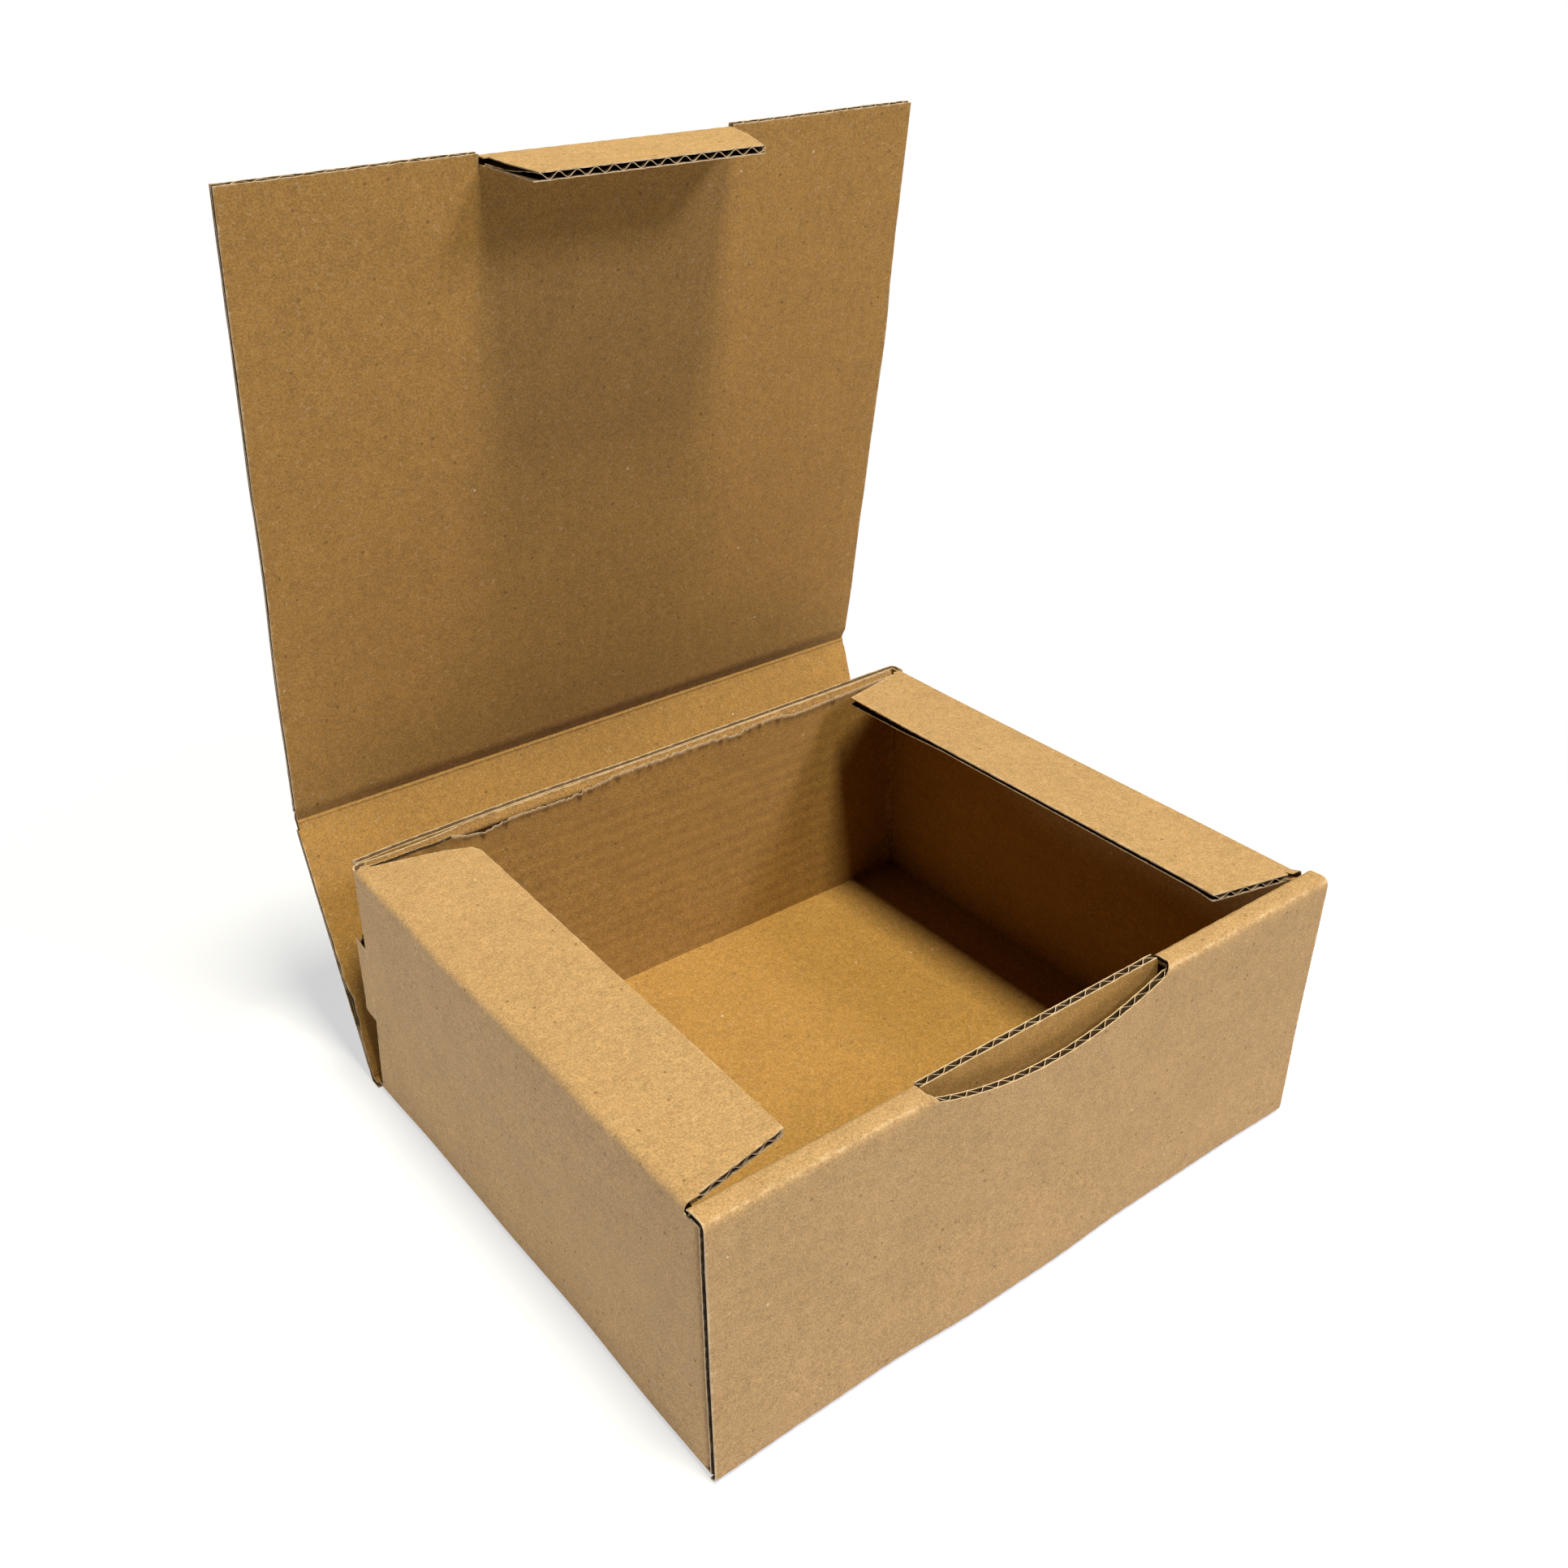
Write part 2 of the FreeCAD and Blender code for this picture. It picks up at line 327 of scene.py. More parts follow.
def columns(low, high, per_flute, marks=()):
    """Columns from low to high, a set number to each flute, the nearest ones moved onto the marks."""
    step = board_sizes().pitch / per_flute
    inner = np.arange(math.ceil(low / step), math.floor(high / step) + 1) * step
    inner = inner[(inner > low + step / 3) & (inner < high - step / 3)]
    found = np.concatenate(([low], inner, [high]))
    for mark in marks:
        found[np.argmin(abs(found - mark))] = mark
    return found


def rows(marks, step):
    """Rows at every mark, and between two marks at most a step apart."""
    found = [marks[0]]
    for low, high in zip(marks, marks[1:]):
        count = max(1, math.ceil((high - low) / step - 0.01))
        found += [low + (high - low) * (k + 1) / count for k in range(count)]
    return np.array(found)


def fold_reach():
    """From a corner of the folded box back to where its crease starts on the sheet."""
    return board_sizes().neutral + board_sizes().crease / (math.pi / 2)


def crease_rows(start, side):
    """Rows across a crease, in rising order."""
    width = board_sizes().crease
    found = [start + side * width * k / FOLD_STEPS for k in range(FOLD_STEPS + 1)]
    return sorted(found)


def new_layer(name, xs, ys, material):
    """One paper layer as a flat grid with its columns at xs and its rows at ys."""
    if bpy.context.object and bpy.context.object.mode != "OBJECT":
        bpy.ops.object.mode_set(mode="OBJECT")
    bpy.ops.object.select_all(action="DESELECT")
    bpy.ops.mesh.primitive_grid_add(x_subdivisions=len(xs) - 1, y_subdivisions=len(ys) - 1, size=2)
    layer = bpy.context.object
    layer.name = name
    layer.data.name = name
    where = places(layer)
    column = np.rint((where[:, 0] + 1) / 2 * (len(xs) - 1)).astype(int)
    row = np.rint((where[:, 1] + 1) / 2 * (len(ys) - 1)).astype(int)
    where[:, 0] = xs[column]
    where[:, 1] = ys[row]
    put_places(layer, where)
    for made in FINISHES:
        layer.data.materials.append(bpy.data.materials["kraft_" + made])
    index = ("outside", "inside", "fluting").index(material)
    layer.data.polygons.foreach_set("material_index", [index] * len(layer.data.polygons))
    return layer


FRAY_SCALE = 620


def wear_edges(layer, seed, joined=()):
    """Marks the cut edges as worn and makes them slightly uneven within the sheet, but not the
    lines where the sheet goes on in another piece; joined holds (column or row, place) pairs."""
    amount = board_sizes().fray
    edge = edge_mask(layer)
    where = places(layer)
    for axis, line in joined:
        edge &= abs(where[:, axis] - line) > SLACK / 5
    mark_wear(layer, edge)
    for index in np.nonzero(edge)[0]:
        spot = Vector(where[index]) * FRAY_SCALE
        where[index, 0] += noise.noise(spot + Vector((seed, 0, 20))) * amount
        where[index, 1] += noise.noise(spot + Vector((seed, 0, 50))) * amount
    put_places(layer, where)


def make_board(name, x_range, ys, marks=(), shape=None, seed=0.0, joined=()):
    """The three layers of a flat board with its outer face on z = 0, cut to shape and joined."""
    sizes = board_sizes()
    middle = sizes.board / 2
    wave = middle - sizes.liner - sizes.fluting / 2
    layers = []
    for number, material in enumerate(("outside", "inside", "fluting")):
        per_flute = FLUTING_COLUMNS if material == "fluting" else LINER_COLUMNS
        xs = columns(x_range[0], x_range[1], per_flute, marks)
        layer = new_layer(name + "_" + material, xs, ys, material)
        if shape:
            shape(layer, material)
        wear_edges(layer, seed + number * 7.3, joined)
        where = places(layer)
        swing = np.cos(2 * math.pi * where[:, 0] / sizes.pitch)
        if material == "outside":
            where[:, 2] = sizes.liner / 2 + sizes.washboard * (1 + swing) / 2
        elif material == "inside":
            where[:, 2] = sizes.board - sizes.liner / 2 - sizes.washboard * (1 - swing) / 2
        else:
            where[:, 2] = middle + wave * swing
        put_places(layer, where)
        mark_paper(layer, sizes.fluting / sizes.liner if material == "fluting" else 1.0)
        layers.append(layer)
    return join(name, layers)


def join(name, parts):
    """One piece made of several."""
    activate(parts[0])
    for part in parts:
        part.select_set(True)
    bpy.ops.object.join()
    piece = bpy.context.object
    piece.name = name
    piece.data.name = name
    return piece


def thicken(piece, hollow_painted_shade=0):
    """Gives the paper its thickness. Rims get the cut finish; the last argument is 1 or -1 when the sheet's
    own normals point from the outer liner inwards or outwards, so the sides within the board get a dark
    painted shade."""
    before = face_numbers(piece, "material_index", 1).ravel().astype(int)
    centre, normal = face_numbers(piece, "center", 3), face_numbers(piece, "normal", 3)
    activate(piece)
    solid = piece.modifiers.new("paper", "SOLIDIFY")
    solid.thickness = board_sizes().liner
    solid.offset = 0
    solid.vertex_group = "paper"
    solid.thickness_vertex_group = 0
    bpy.ops.object.modifier_apply(modifier=solid.name)
    count = len(before)
    index = np.full(len(piece.data.polygons), slot_of(piece, "cut"))
    moved = ((face_numbers(piece, "center", 3)[:count] - centre) * normal).sum(axis=1).mean()
    for first, way in ((0, 1 if moved > 0 else -1), (count, -1 if moved > 0 else 1)):
        shell = before.copy()
        # liner sides within the board take the dark finish, painted shade of the flute cells
        if hollow_painted_shade:
            shell[(before == slot_of(piece, "outside")) & (way == hollow_painted_shade)] = slot_of(piece, "hollow_painted_shade")
            shell[(before == slot_of(piece, "inside")) & (way == -hollow_painted_shade)] = slot_of(piece, "hollow_painted_shade")
        index[first:first + count] = shell
    piece.data.polygons.foreach_set("material_index", index.astype(np.int32))
    bpy.ops.object.shade_smooth_by_angle(angle=math.radians(40))


def face_numbers(piece, name, size):
    """One property of every face as an array."""
    kind = np.int32 if name == "material_index" else np.float32
    found = np.zeros(len(piece.data.polygons) * size, kind)
    piece.data.polygons.foreach_get(name, found)
    return found.reshape(-1, size)


def slot_of(piece, finish):
    return piece.data.materials.find("kraft_" + finish)


def finish_piece(piece, body, node):
    """Hides the model's node that the piece stands for, and attaches the piece to the body that carries it.
    """
    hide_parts(node)
    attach(piece, body)


# half widths of a pale crease band (rubbed wear and painted highlight), as shares of what lies between a
# fold's two sides
RUB_CORE = 0.02
RUB_BAND = 0.34


def rub_and_highlight_lines(piece, flat, rub_and_highlight_bands):
    """Paler creases, part rubbed wear and part painted highlight; a band is (one side, other side, amount) on
    the flat sheet.
    """
    layer = piece.data.attributes["wear_and_highlight"]
    wear_and_highlight = np.zeros(len(piece.data.vertices), np.float32)
    layer.data.foreach_get("value", wear_and_highlight)
    for one, other, amount in rub_and_highlight_bands:
        middle, reach = (one + other) / 2, abs(one - other)
        rub_and_highlight = 1 - smooth(abs(flat - middle), RUB_CORE * reach, RUB_BAND * reach)
        wear_and_highlight = np.maximum(wear_and_highlight, amount * rub_and_highlight)
    layer.data.foreach_set("value", wear_and_highlight.astype(np.float32))


# How the real box has settled


# How far in from a wall and how high up its foot's waves reach, and where the leaning starts
WAVE_DEPTH = 28 * MM
WAVE_EDGE = 4 * MM
WAVE_HEIGHT = 45 * MM
LEAN_START = 30 * MM
LEAN_EDGE = 6 * MM
BOW_DEPTH = 40 * MM
BOW_FOOT = 20 * MM
# the front panel alone flares past the right wall, from its middle and within this of its face
FLARE_START = 40 * MM
FLARE_DEPTH = 10 * MM
FLARE_FOOT = 0.3

# (place, offset) points along the walls, read off the photograph's outline
FRONT_FOOT = in_mm((-125, -1.0), (-90, -0.4), (-60, -0.1), (-25, -1.4), (5, -1.3), (45, -0.1), (92, 0.0),
                   (125, -0.6))
LEFT_FOOT = in_mm((-105, -0.4), (-78, -0.6), (-35, 0.0), (15, -0.6), (60, -0.7), (105, -1.5))
REAR_TOP = in_mm((-125, -2.4), (-100, -1.1), (-65, -0.2), (0, -0.9), (75, -0.6), (125, 0.0))
LEFT_TOP = in_mm((-100, 0.0), (-40, -0.3), (35, -1.3), (75, -0.3), (105, 0.0))


def settle_tray(piece):
    """Bends a finished piece of the tray or a dust flap as the box stands in the photograph."""
    sizes = box_sizes()
    where = places(piece)
    x, y, z = where.T
    height = np.clip(z / TOP, 0, 1.05)
    front_wave = along_points(x, FRONT_FOOT)
    left_wave = along_points(y, LEFT_FOOT)
    at_front = smooth(-y, -FRONT - WAVE_DEPTH, -FRONT - WAVE_EDGE)
    at_left = smooth(-x, HALF_WIDTH - WAVE_DEPTH, HALF_WIDTH - WAVE_EDGE)
    low = 1 - smooth(z, 0, WAVE_HEIGHT)
    at_rear = smooth(y, LEAN_START, REAR - LEAN_EDGE)
    where[:, 1] += front_wave * at_front * low
    where[:, 0] += left_wave * at_left * low
    where[:, 1] += sizes.rear_lean * along_points(x, REAR_TOP) * height * at_rear
    to_right = smooth(x, LEAN_START, HALF_WIDTH)
    to_front = smooth(-y, -90 * MM, 105 * MM)
    where[:, 0] += sizes.side_flare * to_right * to_front * height
    on_face = smooth(-y, -FRONT - FLARE_DEPTH, -FRONT - FLARE_DEPTH + 1 * MM)
    panel_end = on_face * smooth(x, FLARE_START, HALF_WIDTH)
    rising = FLARE_FOOT + (1 - FLARE_FOOT) * height
    where[:, 0] += (sizes.front_flare - sizes.side_flare) * panel_end * rising
    on_left = smooth(-x, HALF_WIDTH - BOW_DEPTH, HALF_WIDTH)
    where[:, 0] += along_points(y, LEFT_TOP) * on_left * smooth(z, BOW_FOOT, TOP)
    put_places(piece, where)


LID_BOW = 1.0 * MM
SIDE_DEPTH = 40 * MM
# (height above the lid's crease, sideways offset) of the cover's side edges; below 0 is the back panel
LID_LEFT = in_mm((-105, 0.0), (0, -0.6), (60, -1.2), (99, -0.9), (135, -1.6), (223, -2.1))
LID_RIGHT = in_mm((-105, 0.2), (0, 0.3), (30, 1.1), (90, 1.9), (140, 2.4), (165, 1.1), (185, 0.6), (223, 0.2))


def settle_cover(piece):
    """Shifts a cover panel sideways and gives its side edges their waves."""
    where = places(piece)
    along = (where - np.array(LID_AXIS)) @ np.array(LID_UP)
    side = where[:, 0]
    left = smooth(-side, COVER_HALF - SIDE_DEPTH, COVER_HALF)
    right = smooth(side, COVER_HALF - SIDE_DEPTH, COVER_HALF)
    offset = left * along_points(along, LID_LEFT) + right * along_points(along, LID_RIGHT)
    where[:, 0] += offset + box_sizes().cover_shift
    put_places(piece, where)


def bow_lid(piece):
    """Lets the lid bulge a little just above its crease."""
    where = places(piece)
    along = (where - np.array(LID_AXIS)) @ np.array(LID_UP)
    # from the end of the crease's bend, and fading out up the panel
    share = smooth(along, 0.9 * MM, 6 * MM) * (1 - smooth(along, 8 * MM, 75 * MM))
    where += np.outer(LID_BOW * share, X_AXIS.cross(LID_UP))
    put_places(piece, where)


# Base, front wall, roll and inner front wall


ROLL_DEPTH = 9.0 * MM
# height at which the inner panels stand on the base
FLOOR_TOP = 3.1 * MM
# The notch's lip at its ends, how far below the roll its arc still squeezes the sheet, and how far up
# the inner front panel rises behind it, over what stretch
NOTCH_LIP = 1.6 * MM
NOTCH_REACH = 24 * MM
INNER_LIFT = 2.3 * MM
INNER_REACH = 16 * MM


def front_marks():
    """Where the creases of the front fall on the flat sheet, from the base outwards."""
    sizes = board_sizes()
    reach = fold_reach()
    base_end = FRONT + reach
    wall = TOP - 2 * reach
    roll = ROLL_DEPTH - 2 * reach
    wall_start = base_end - sizes.crease
    wall_end = wall_start - wall
    roll_start = wall_end - sizes.crease
    roll_end = roll_start - roll
    inner_start = roll_end - sizes.crease
    inner_end = inner_start - (TOP - reach - FLOOR_TOP)
    return base_end, wall_start, wall_end, roll_start, roll_end, inner_start, inner_end


def shape_front(layer, material):
    """Cuts the finger notch and narrows the inner front wall on the flat sheet."""
    _, _, wall_end, roll_start, roll_end, inner_start, _ = front_marks()
    half = box_sizes().notch_half
    shift = box_sizes().notch_shift
    narrow = HALF_WIDTH - board_sizes().board - LAYER_GAP
    delete_faces(layer, lambda c: abs(c.x - shift) < half and inner_start < c.y < roll_start)
    delete_faces(layer, lambda c: abs(c.x) > narrow and c.y < roll_end - board_sizes().crease / 2)
    where = places(layer)
    x, y = where[:, 0] - shift, where[:, 1]
    depth = box_sizes().notch_depth - NOTCH_LIP
    radius = (half * half + depth * depth) / (2 * depth)
    arc = roll_start + depth - (radius - np.sqrt(np.maximum(radius * radius - x * x, 0)))
    low = wall_end + NOTCH_REACH
    inside = (abs(x) < half - SLACK) & (y > inner_start + SLACK) & (y < low)
    squeezed = low + (y - low) * (arc - low) / (roll_start - low)
    where[:, 1] = np.where(inside, squeezed, y)
    put_places(layer, where)


def make_front(name):
    """The base with the front rolled over: one strip of the sheet, laid flat and folded up."""
    sizes = board_sizes()
    base_end, wall_start, wall_end, roll_start, roll_end, inner_start, inner_end = front_marks()
    marks = [inner_end, inner_end + EDGE_ROW, inner_start - INNER_REACH, inner_start - EDGE_ROW]
    marks += crease_rows(roll_end, -1) + crease_rows(wall_end, -1)
    marks += [wall_end + 4 * MM, wall_end + NOTCH_REACH] + crease_rows(base_end, -1) + [BACK_AXIS.y - LEAD]
    ys = rows(marks, ROW)
    reach = fold_reach()
    narrow = HALF_WIDTH - sizes.board - LAYER_GAP
    notch = box_sizes().notch_half
    shift = box_sizes().notch_shift
    lines = (-narrow, shift - notch, shift + notch, narrow)
    piece = make_board(name, (-HALF_WIDTH, HALF_WIDTH), ys, lines, shape_front, 1.0, ((1, ys[-1]),))
    where = places(piece)
    flat = where[:, 1].copy()
    # the notch has taken away what lay past this line, so the frayed edge still counts
    lifted = (abs(where[:, 0] - shift) < notch - EDGE_ROW / 2) & (flat < inner_start + EDGE_ROW)
    where[:, 1] += INNER_LIFT * np.where(lifted, smooth(flat, inner_start - INNER_REACH, inner_start), 0)
    put_places(piece, where)
    quarter = -math.pi / 2

    def pivot(line):
        return Vector((0, line, sizes.neutral))

    # paler bands along the creases: rubbed wear and painted highlight, the roll's outer crease most
    rub_and_highlight_bands = ((wall_end, roll_start, 0.85), (roll_end, inner_start, 0.4), (base_end, wall_start, 0.3))
    rub_and_highlight_lines(piece, flat, rub_and_highlight_bands)
    turned = fold(piece, flat, base_end, -1, quarter, "X", pivot, Matrix.Identity(4))
    turned = fold(piece, flat, wall_end, -1, quarter, "X", pivot, turned)
    fold(piece, flat, roll_end, -1, quarter, "X", pivot, turned)

    def in_foot(c):
        return abs(c.x) > HALF_WIDTH - reach and c.y > FRONT + reach and c.z < FLOOR_TOP + SLACK

    # the folds along the base's sides are made with the creases
    delete_faces(piece, in_foot)
    thicken(piece, 1)
    settle_tray(piece)
    return piece


class MAILING_OT_base_and_front(bpy.types.Operator):
    """Makes the base, the front wall, its roll and the inner front wall"""
    bl_idname = "mailing.base_and_front"
    bl_label = "Base and front"

    def execute(self, context):
        piece = make_front("base_and_front")
        finish_piece(piece, "tray", "tray")
        return {"FINISHED"}


# Side walls with their tabs


LUG_LOW = 33 * MM
LUG_HEIGHT = 32 * MM
LUG_REACH = 5.5 * MM
LUG_PUSH = 1.2 * MM
# room between a lug and the hole that it comes through
LUG_ROOM = 0.2 * MM
TAB_TAPER = 8 * MM
TAB_SHORT = 2.4 * MM
# the dust flaps' ends along their creases
FLAP_FRONT = FRONT + 9.5 * MM
FLAP_REAR = REAR - 6.4 * MM
# (place, distance) between the two rear tabs near the left corner
TAB_STAND_OFF = in_mm((-124, 0.0), (-112, 1.3), (-98, 1.6), (-78, 0.2), (0, 0.0))
# The rear wall's inner liner is torn above TORN_LOW: its rows as shares of the way up, the tear's
# height along the wall, and how ragged it is. Left of PALE_TEAR its edge isn't pale: it gets a dark painted
# shade.
TORN_LOW = 84 * MM
TORN_START = 2 * MM
PALE_TEAR = -88 * MM
TORN_ROWS = (0, 0.22, 0.42, 0.6, 0.74, 0.85, 0.92, 0.965, 1.0)
TORN_LINE = in_mm((-120, 98.8), (-88, 98.3), (-80, 95.4), (-74, 94.4), (-62, 96.2), (-40, 95.7), (-28, 97.2),
                  (-15, 98.6), (20, 98.6), (31, 98.4), (36, 97.0), (45, 98.6), (57, 98.6), (67, 96.8),
                  (90, 97.6), (120, 98.2))
TORN_RAGGED = in_mm((-90, 0.3), (-60, 0.7), (-25, 1.2), (50, 1.3), (65, 0.4), (120, 0.15))


def side_flat(side):
    """Where the creases of a side wall's two tabs start on the sheet, and where the tabs end."""
    sizes = board_sizes()
    reach = fold_reach()
    beside = sizes.board + LAYER_GAP
    rear_face = REAR if side > 0 else REAR - sizes.board - LAYER_GAP
    rear_start = rear_face - reach
    front_start = FRONT + sizes.board + LAYER_GAP + reach
    tab_run = box_sizes().corner_tab - reach
    rear_run = 2 * HALF_WIDTH - 2 * reach - ((beside if side < 0 else TAB_SHORT) - reach)
    rear_end = rear_start + sizes.crease + rear_run
    front_end = front_start - sizes.crease - tab_run
    return rear_start, front_start, rear_end, front_end


def make_side(name, side):
    """One side wall with its rear tab, front corner tab and locking lug, standing before it is folded."""
    sizes = board_sizes()
    reach = fold_reach()
    rear_start, front_start, rear_end, front_end = side_flat(side)
    wall_top = JOINTS[FLAP_JOINTS[side]]["pos_m"][2] - LEAD
    tab_top = TOP - sizes.board - LAYER_GAP
    lug_top = LUG_LOW + LUG_HEIGHT
    hole_end = rear_start + sizes.crease + LUG_REACH - sizes.board
    torn_start = rear_start + sizes.crease + TORN_START
    notch_start = rear_end - sizes.board - LAYER_GAP

    def shape(layer, material):
        delete_faces(layer, lambda c: c.x > wall_top and FLAP_FRONT < c.y < FLAP_REAR)
        delete_faces(layer, lambda c: c.x > tab_top and c.y < FLAP_FRONT)
        delete_faces(layer, lambda c: LUG_LOW < c.x < lug_top and rear_start < c.y < hole_end)
        if side < 0 and material == "inside":
            delete_faces(layer, lambda c: c.x > TORN_LOW and c.y > torn_start)
        if side < 0 and material == "fluting":
            stain_faces(layer, lambda c: c.x > TORN_LOW and c.y > torn_start)
        if side < 0 and material != "inside":
            # short of the right wall, which only the inner liner reaches
            trim(layer, (0, rear_end - 1.5 * MM, 0), (0, 1, 0))
        if side > 0:
            delete_faces(layer, lambda c: LUG_LOW < c.x < lug_top and c.y > notch_start)
        for edge, slope in ((tab_top, 1), (reach, -1)):
            trim(layer, (edge, front_end + TAB_TAPER, 0), (slope, -1, 0))

    marks = [front_end, front_end + EDGE_ROW, front_end + TAB_TAPER, FLAP_FRONT, FLAP_REAR]
    marks += crease_rows(front_start, -1) + crease_rows(rear_start, 1)
    marks += [hole_end, torn_start if side < 0 else notch_start, rear_end]
    ys = rows(sorted(set(marks)), ROW)
    lines = [wall_top, tab_top, LUG_LOW, lug_top]
    joined = [(0, reach), (0, wall_top)]
    if side < 0:
        lines.append(TORN_LOW)
        joined += [(0, TORN_LOW), (1, torn_start)]
    piece = make_board(name, (reach, TOP), ys, lines, shape, 11.0 + side, joined)
    where = places(piece)
    lie = where.copy()
    flat = lie[:, 1]
    # stand the board up: its columns run up the wall and its outer face looks away from the box
    where[:, 2] = lie[:, 0]
    where[:, 0] = side * (HALF_WIDTH - lie[:, 2])
    put_places(piece, where)
    if side > 0:
        flip(piece)

    def pivot(line):
        return Vector((side * (HALF_WIDTH - sizes.neutral), line, 0))

    quarter = math.pi / 2
    fold(piece, flat, rear_start, 1, side * quarter, "Z", pivot, Matrix.Identity(4))
    fold(piece, flat, front_start, -1, -side * quarter, "Z", pivot, Matrix.Identity(4))
    parts = [piece, make_lug(name + "_lug", side, rear_start)]
    if side < 0:
        parts.append(make_torn_liner(name + "_torn_liner", reach))
        flip(parts[-1])
    piece = join(name, parts)
    if side < 0:
        where = places(piece)
        where[:, 1] -= stand_off(where)
        put_places(piece, where)
    return piece


def stand_off(where):
    """How far the left wall's rear tab stands away from the right one near the left corner."""
    # the tab fades in below its own thickness, and ends where the right wall's tab begins
    in_tab = smooth(where[:, 1], REAR - 7 * MM, REAR - 6 * MM) * (where[:, 1] < REAR - 3.1 * MM)
    return in_tab * along_points(where[:, 0], TAB_STAND_OFF) * smooth(where[:, 2], 55 * MM, TOP)


def stain_faces(layer, inside):
    """Gives the faces whose centre passes the test the torn finish."""
    slot = slot_of(layer, "torn")
    for face in layer.data.polygons:
        if inside(face.center):
            face.material_index = slot


def make_torn_liner(name, reach):
    """The upper strip of the rear wall's inner liner, its top edge torn along an uneven line."""
    sizes = board_sizes()
    left = -HALF_WIDTH + reach + TORN_START
    right = HALF_WIDTH - sizes.board - LAYER_GAP
    xs = np.arange(left, right + 0.4 * MM, 0.9 * MM)
    xs[-1] = right
    layer = new_layer(name, xs, np.arange(len(TORN_ROWS), dtype=float), "inside")
    where = places(layer)
    x = where[:, 0]
    row = np.rint(where[:, 1]).astype(int)
    share = np.array(TORN_ROWS)[row]
    ragged = along_points(x, TORN_RAGGED)

    def unevenness(scale, seed):
        return np.array([noise.noise(Vector((place * scale, seed, 0))) for place in x])

    top = along_points(x, TORN_LINE) + (unevenness(900, 3) + 0.6 * unevenness(2600, 8)) * ragged
    height = TORN_LOW + (top - TORN_LOW) * share
    sink = sizes.washboard * (1 - np.cos(2 * math.pi * height / sizes.pitch)) / 2
    depth = sizes.board - sizes.liner / 2 - sink
    curl = np.maximum(unevenness(420, 15) + 0.15, 0) * 1.7 * MM
    lift = (0.2 * MM + curl) * smooth(share, 0.78, 1.0)
    where[:, 0] = x
    where[:, 1] = REAR - sizes.board - LAYER_GAP - depth - lift
    where[:, 2] = height
    put_places(layer, where)
    group = mark_paper(layer)
    for index, amount in enumerate(share):
        group.add([index], 1.0 - 0.5 * float(smooth(amount, 0.85, 1.0)), "REPLACE")
    pale = smooth(x, PALE_TEAR - 2 * MM, PALE_TEAR + 2 * MM)
    mark_wear(layer, smooth(share, 0.93, 1.0) * pale * 1.5)
    # top rows get the cut finish right of PALE_TEAR; left of it they get the dark finish, painted shade
    for face in layer.data.polygons:
        if min(share[corner] for corner in face.vertices) > TORN_ROWS[-3] - 0.01:
            face.material_index = slot_of(layer, "cut" if face.center.x > PALE_TEAR else "hollow_painted_shade")
    return layer


def flip(piece):
    """Turns every face over, where a mirrored placing has turned the sheet inside out."""
    activate(piece)
    bpy.ops.object.mode_set(mode="EDIT")
    bpy.ops.mesh.select_all(action="SELECT")
    bpy.ops.mesh.flip_normals()
    bpy.ops.object.mode_set(mode="OBJECT")


def make_lug(name, side, start):
    """The tongue that stays in the wall's plane where the rear tab folds away."""
    tip = TRAY_HIGH.y
    ys = rows([start, tip - EDGE_ROW, tip], 2 * MM)

    def shape(layer, material):
        # its lower corner is cut off at a slant
        trim(layer, (LUG_LOW, tip - 2.4 * MM, 0), (-1, 0.55, 0))

    low, high = LUG_LOW + LUG_ROOM, LUG_LOW + LUG_HEIGHT - LUG_ROOM
    piece = make_board(name, (low, high), ys, (), shape, 21.0 + side)
    where = places(piece)
    lie = where.copy()
    # its upper corner is pushed up a little
    pushed = smooth(lie[:, 1], start + 2 * MM, tip) * smooth(lie[:, 0], 50 * MM, 65 * MM)
    where[:, 2] = lie[:, 0] + LUG_PUSH * pushed
    where[:, 0] = side * (HALF_WIDTH - lie[:, 2])
    put_places(piece, where)
    if side > 0:
        flip(piece)
    return piece


class MAILING_OT_side_walls(bpy.types.Operator):
    """Makes both side walls with their folded tabs and locking lugs"""
    bl_idname = "mailing.side_walls"
    bl_label = "Side walls"

    def execute(self, context):
        for side, name in ((-1, "left_wall_and_tabs"), (1, "right_wall_and_tabs")):
            piece = make_side(name, side)
            thicken(piece, -1)
            settle_tray(piece)
            finish_piece(piece, "tray", "tray")
        return {"FINISHED"}


# Creases


CREASE_WEAR = 0.3
# outer radius of a moving crease on the cover and on the dust flaps, and how far it bends on each side
COVER_FOLD = 1.3 * MM
FLAP_FOLD = 2.3 * MM
# the bead and the groove pressed along the inside of a crease
BEAD = 1.6 * MM
BEAD_LIFT = 0.25 * MM
GROOVE = 0.35 * MM
BEAD_STEPS = 16
# columns of a crease whose liners have no waves across it
PLAIN_COLUMNS = 81


def bent_liner(name, profile, along, origin, spans, material, wave=True):
    """A liner strip that follows a profile across a crease; profile gives points and outward normals."""
    points, normals = profile
    layer = new_layer(name, spans, np.arange(len(points), dtype=float), material)
    where = places(layer)
    index = np.rint(where[:, 1]).astype(int)
    run = where[:, 0]
    sizes = board_sizes()
    swing = np.cos(2 * math.pi * run / sizes.pitch) * (-1 if material == "inside" else 1)
    sink = sizes.washboard * (1 + swing) / 2 * wave
    base = np.array([list(p) for p in points])[index]
    normal = np.array([list(n) for n in normals])[index]
    put_places(layer, np.array(origin) + base + run[:, None] * np.array(along) - normal * sink[:, None])
    mark_paper(layer)
    middle = (len(points) - 1) / 2
    rub_and_highlight = 1 - smooth(abs(index - middle), 0.5, middle * 0.6)
    mark_wear(layer, CREASE_WEAR * rub_and_highlight)
    return layer


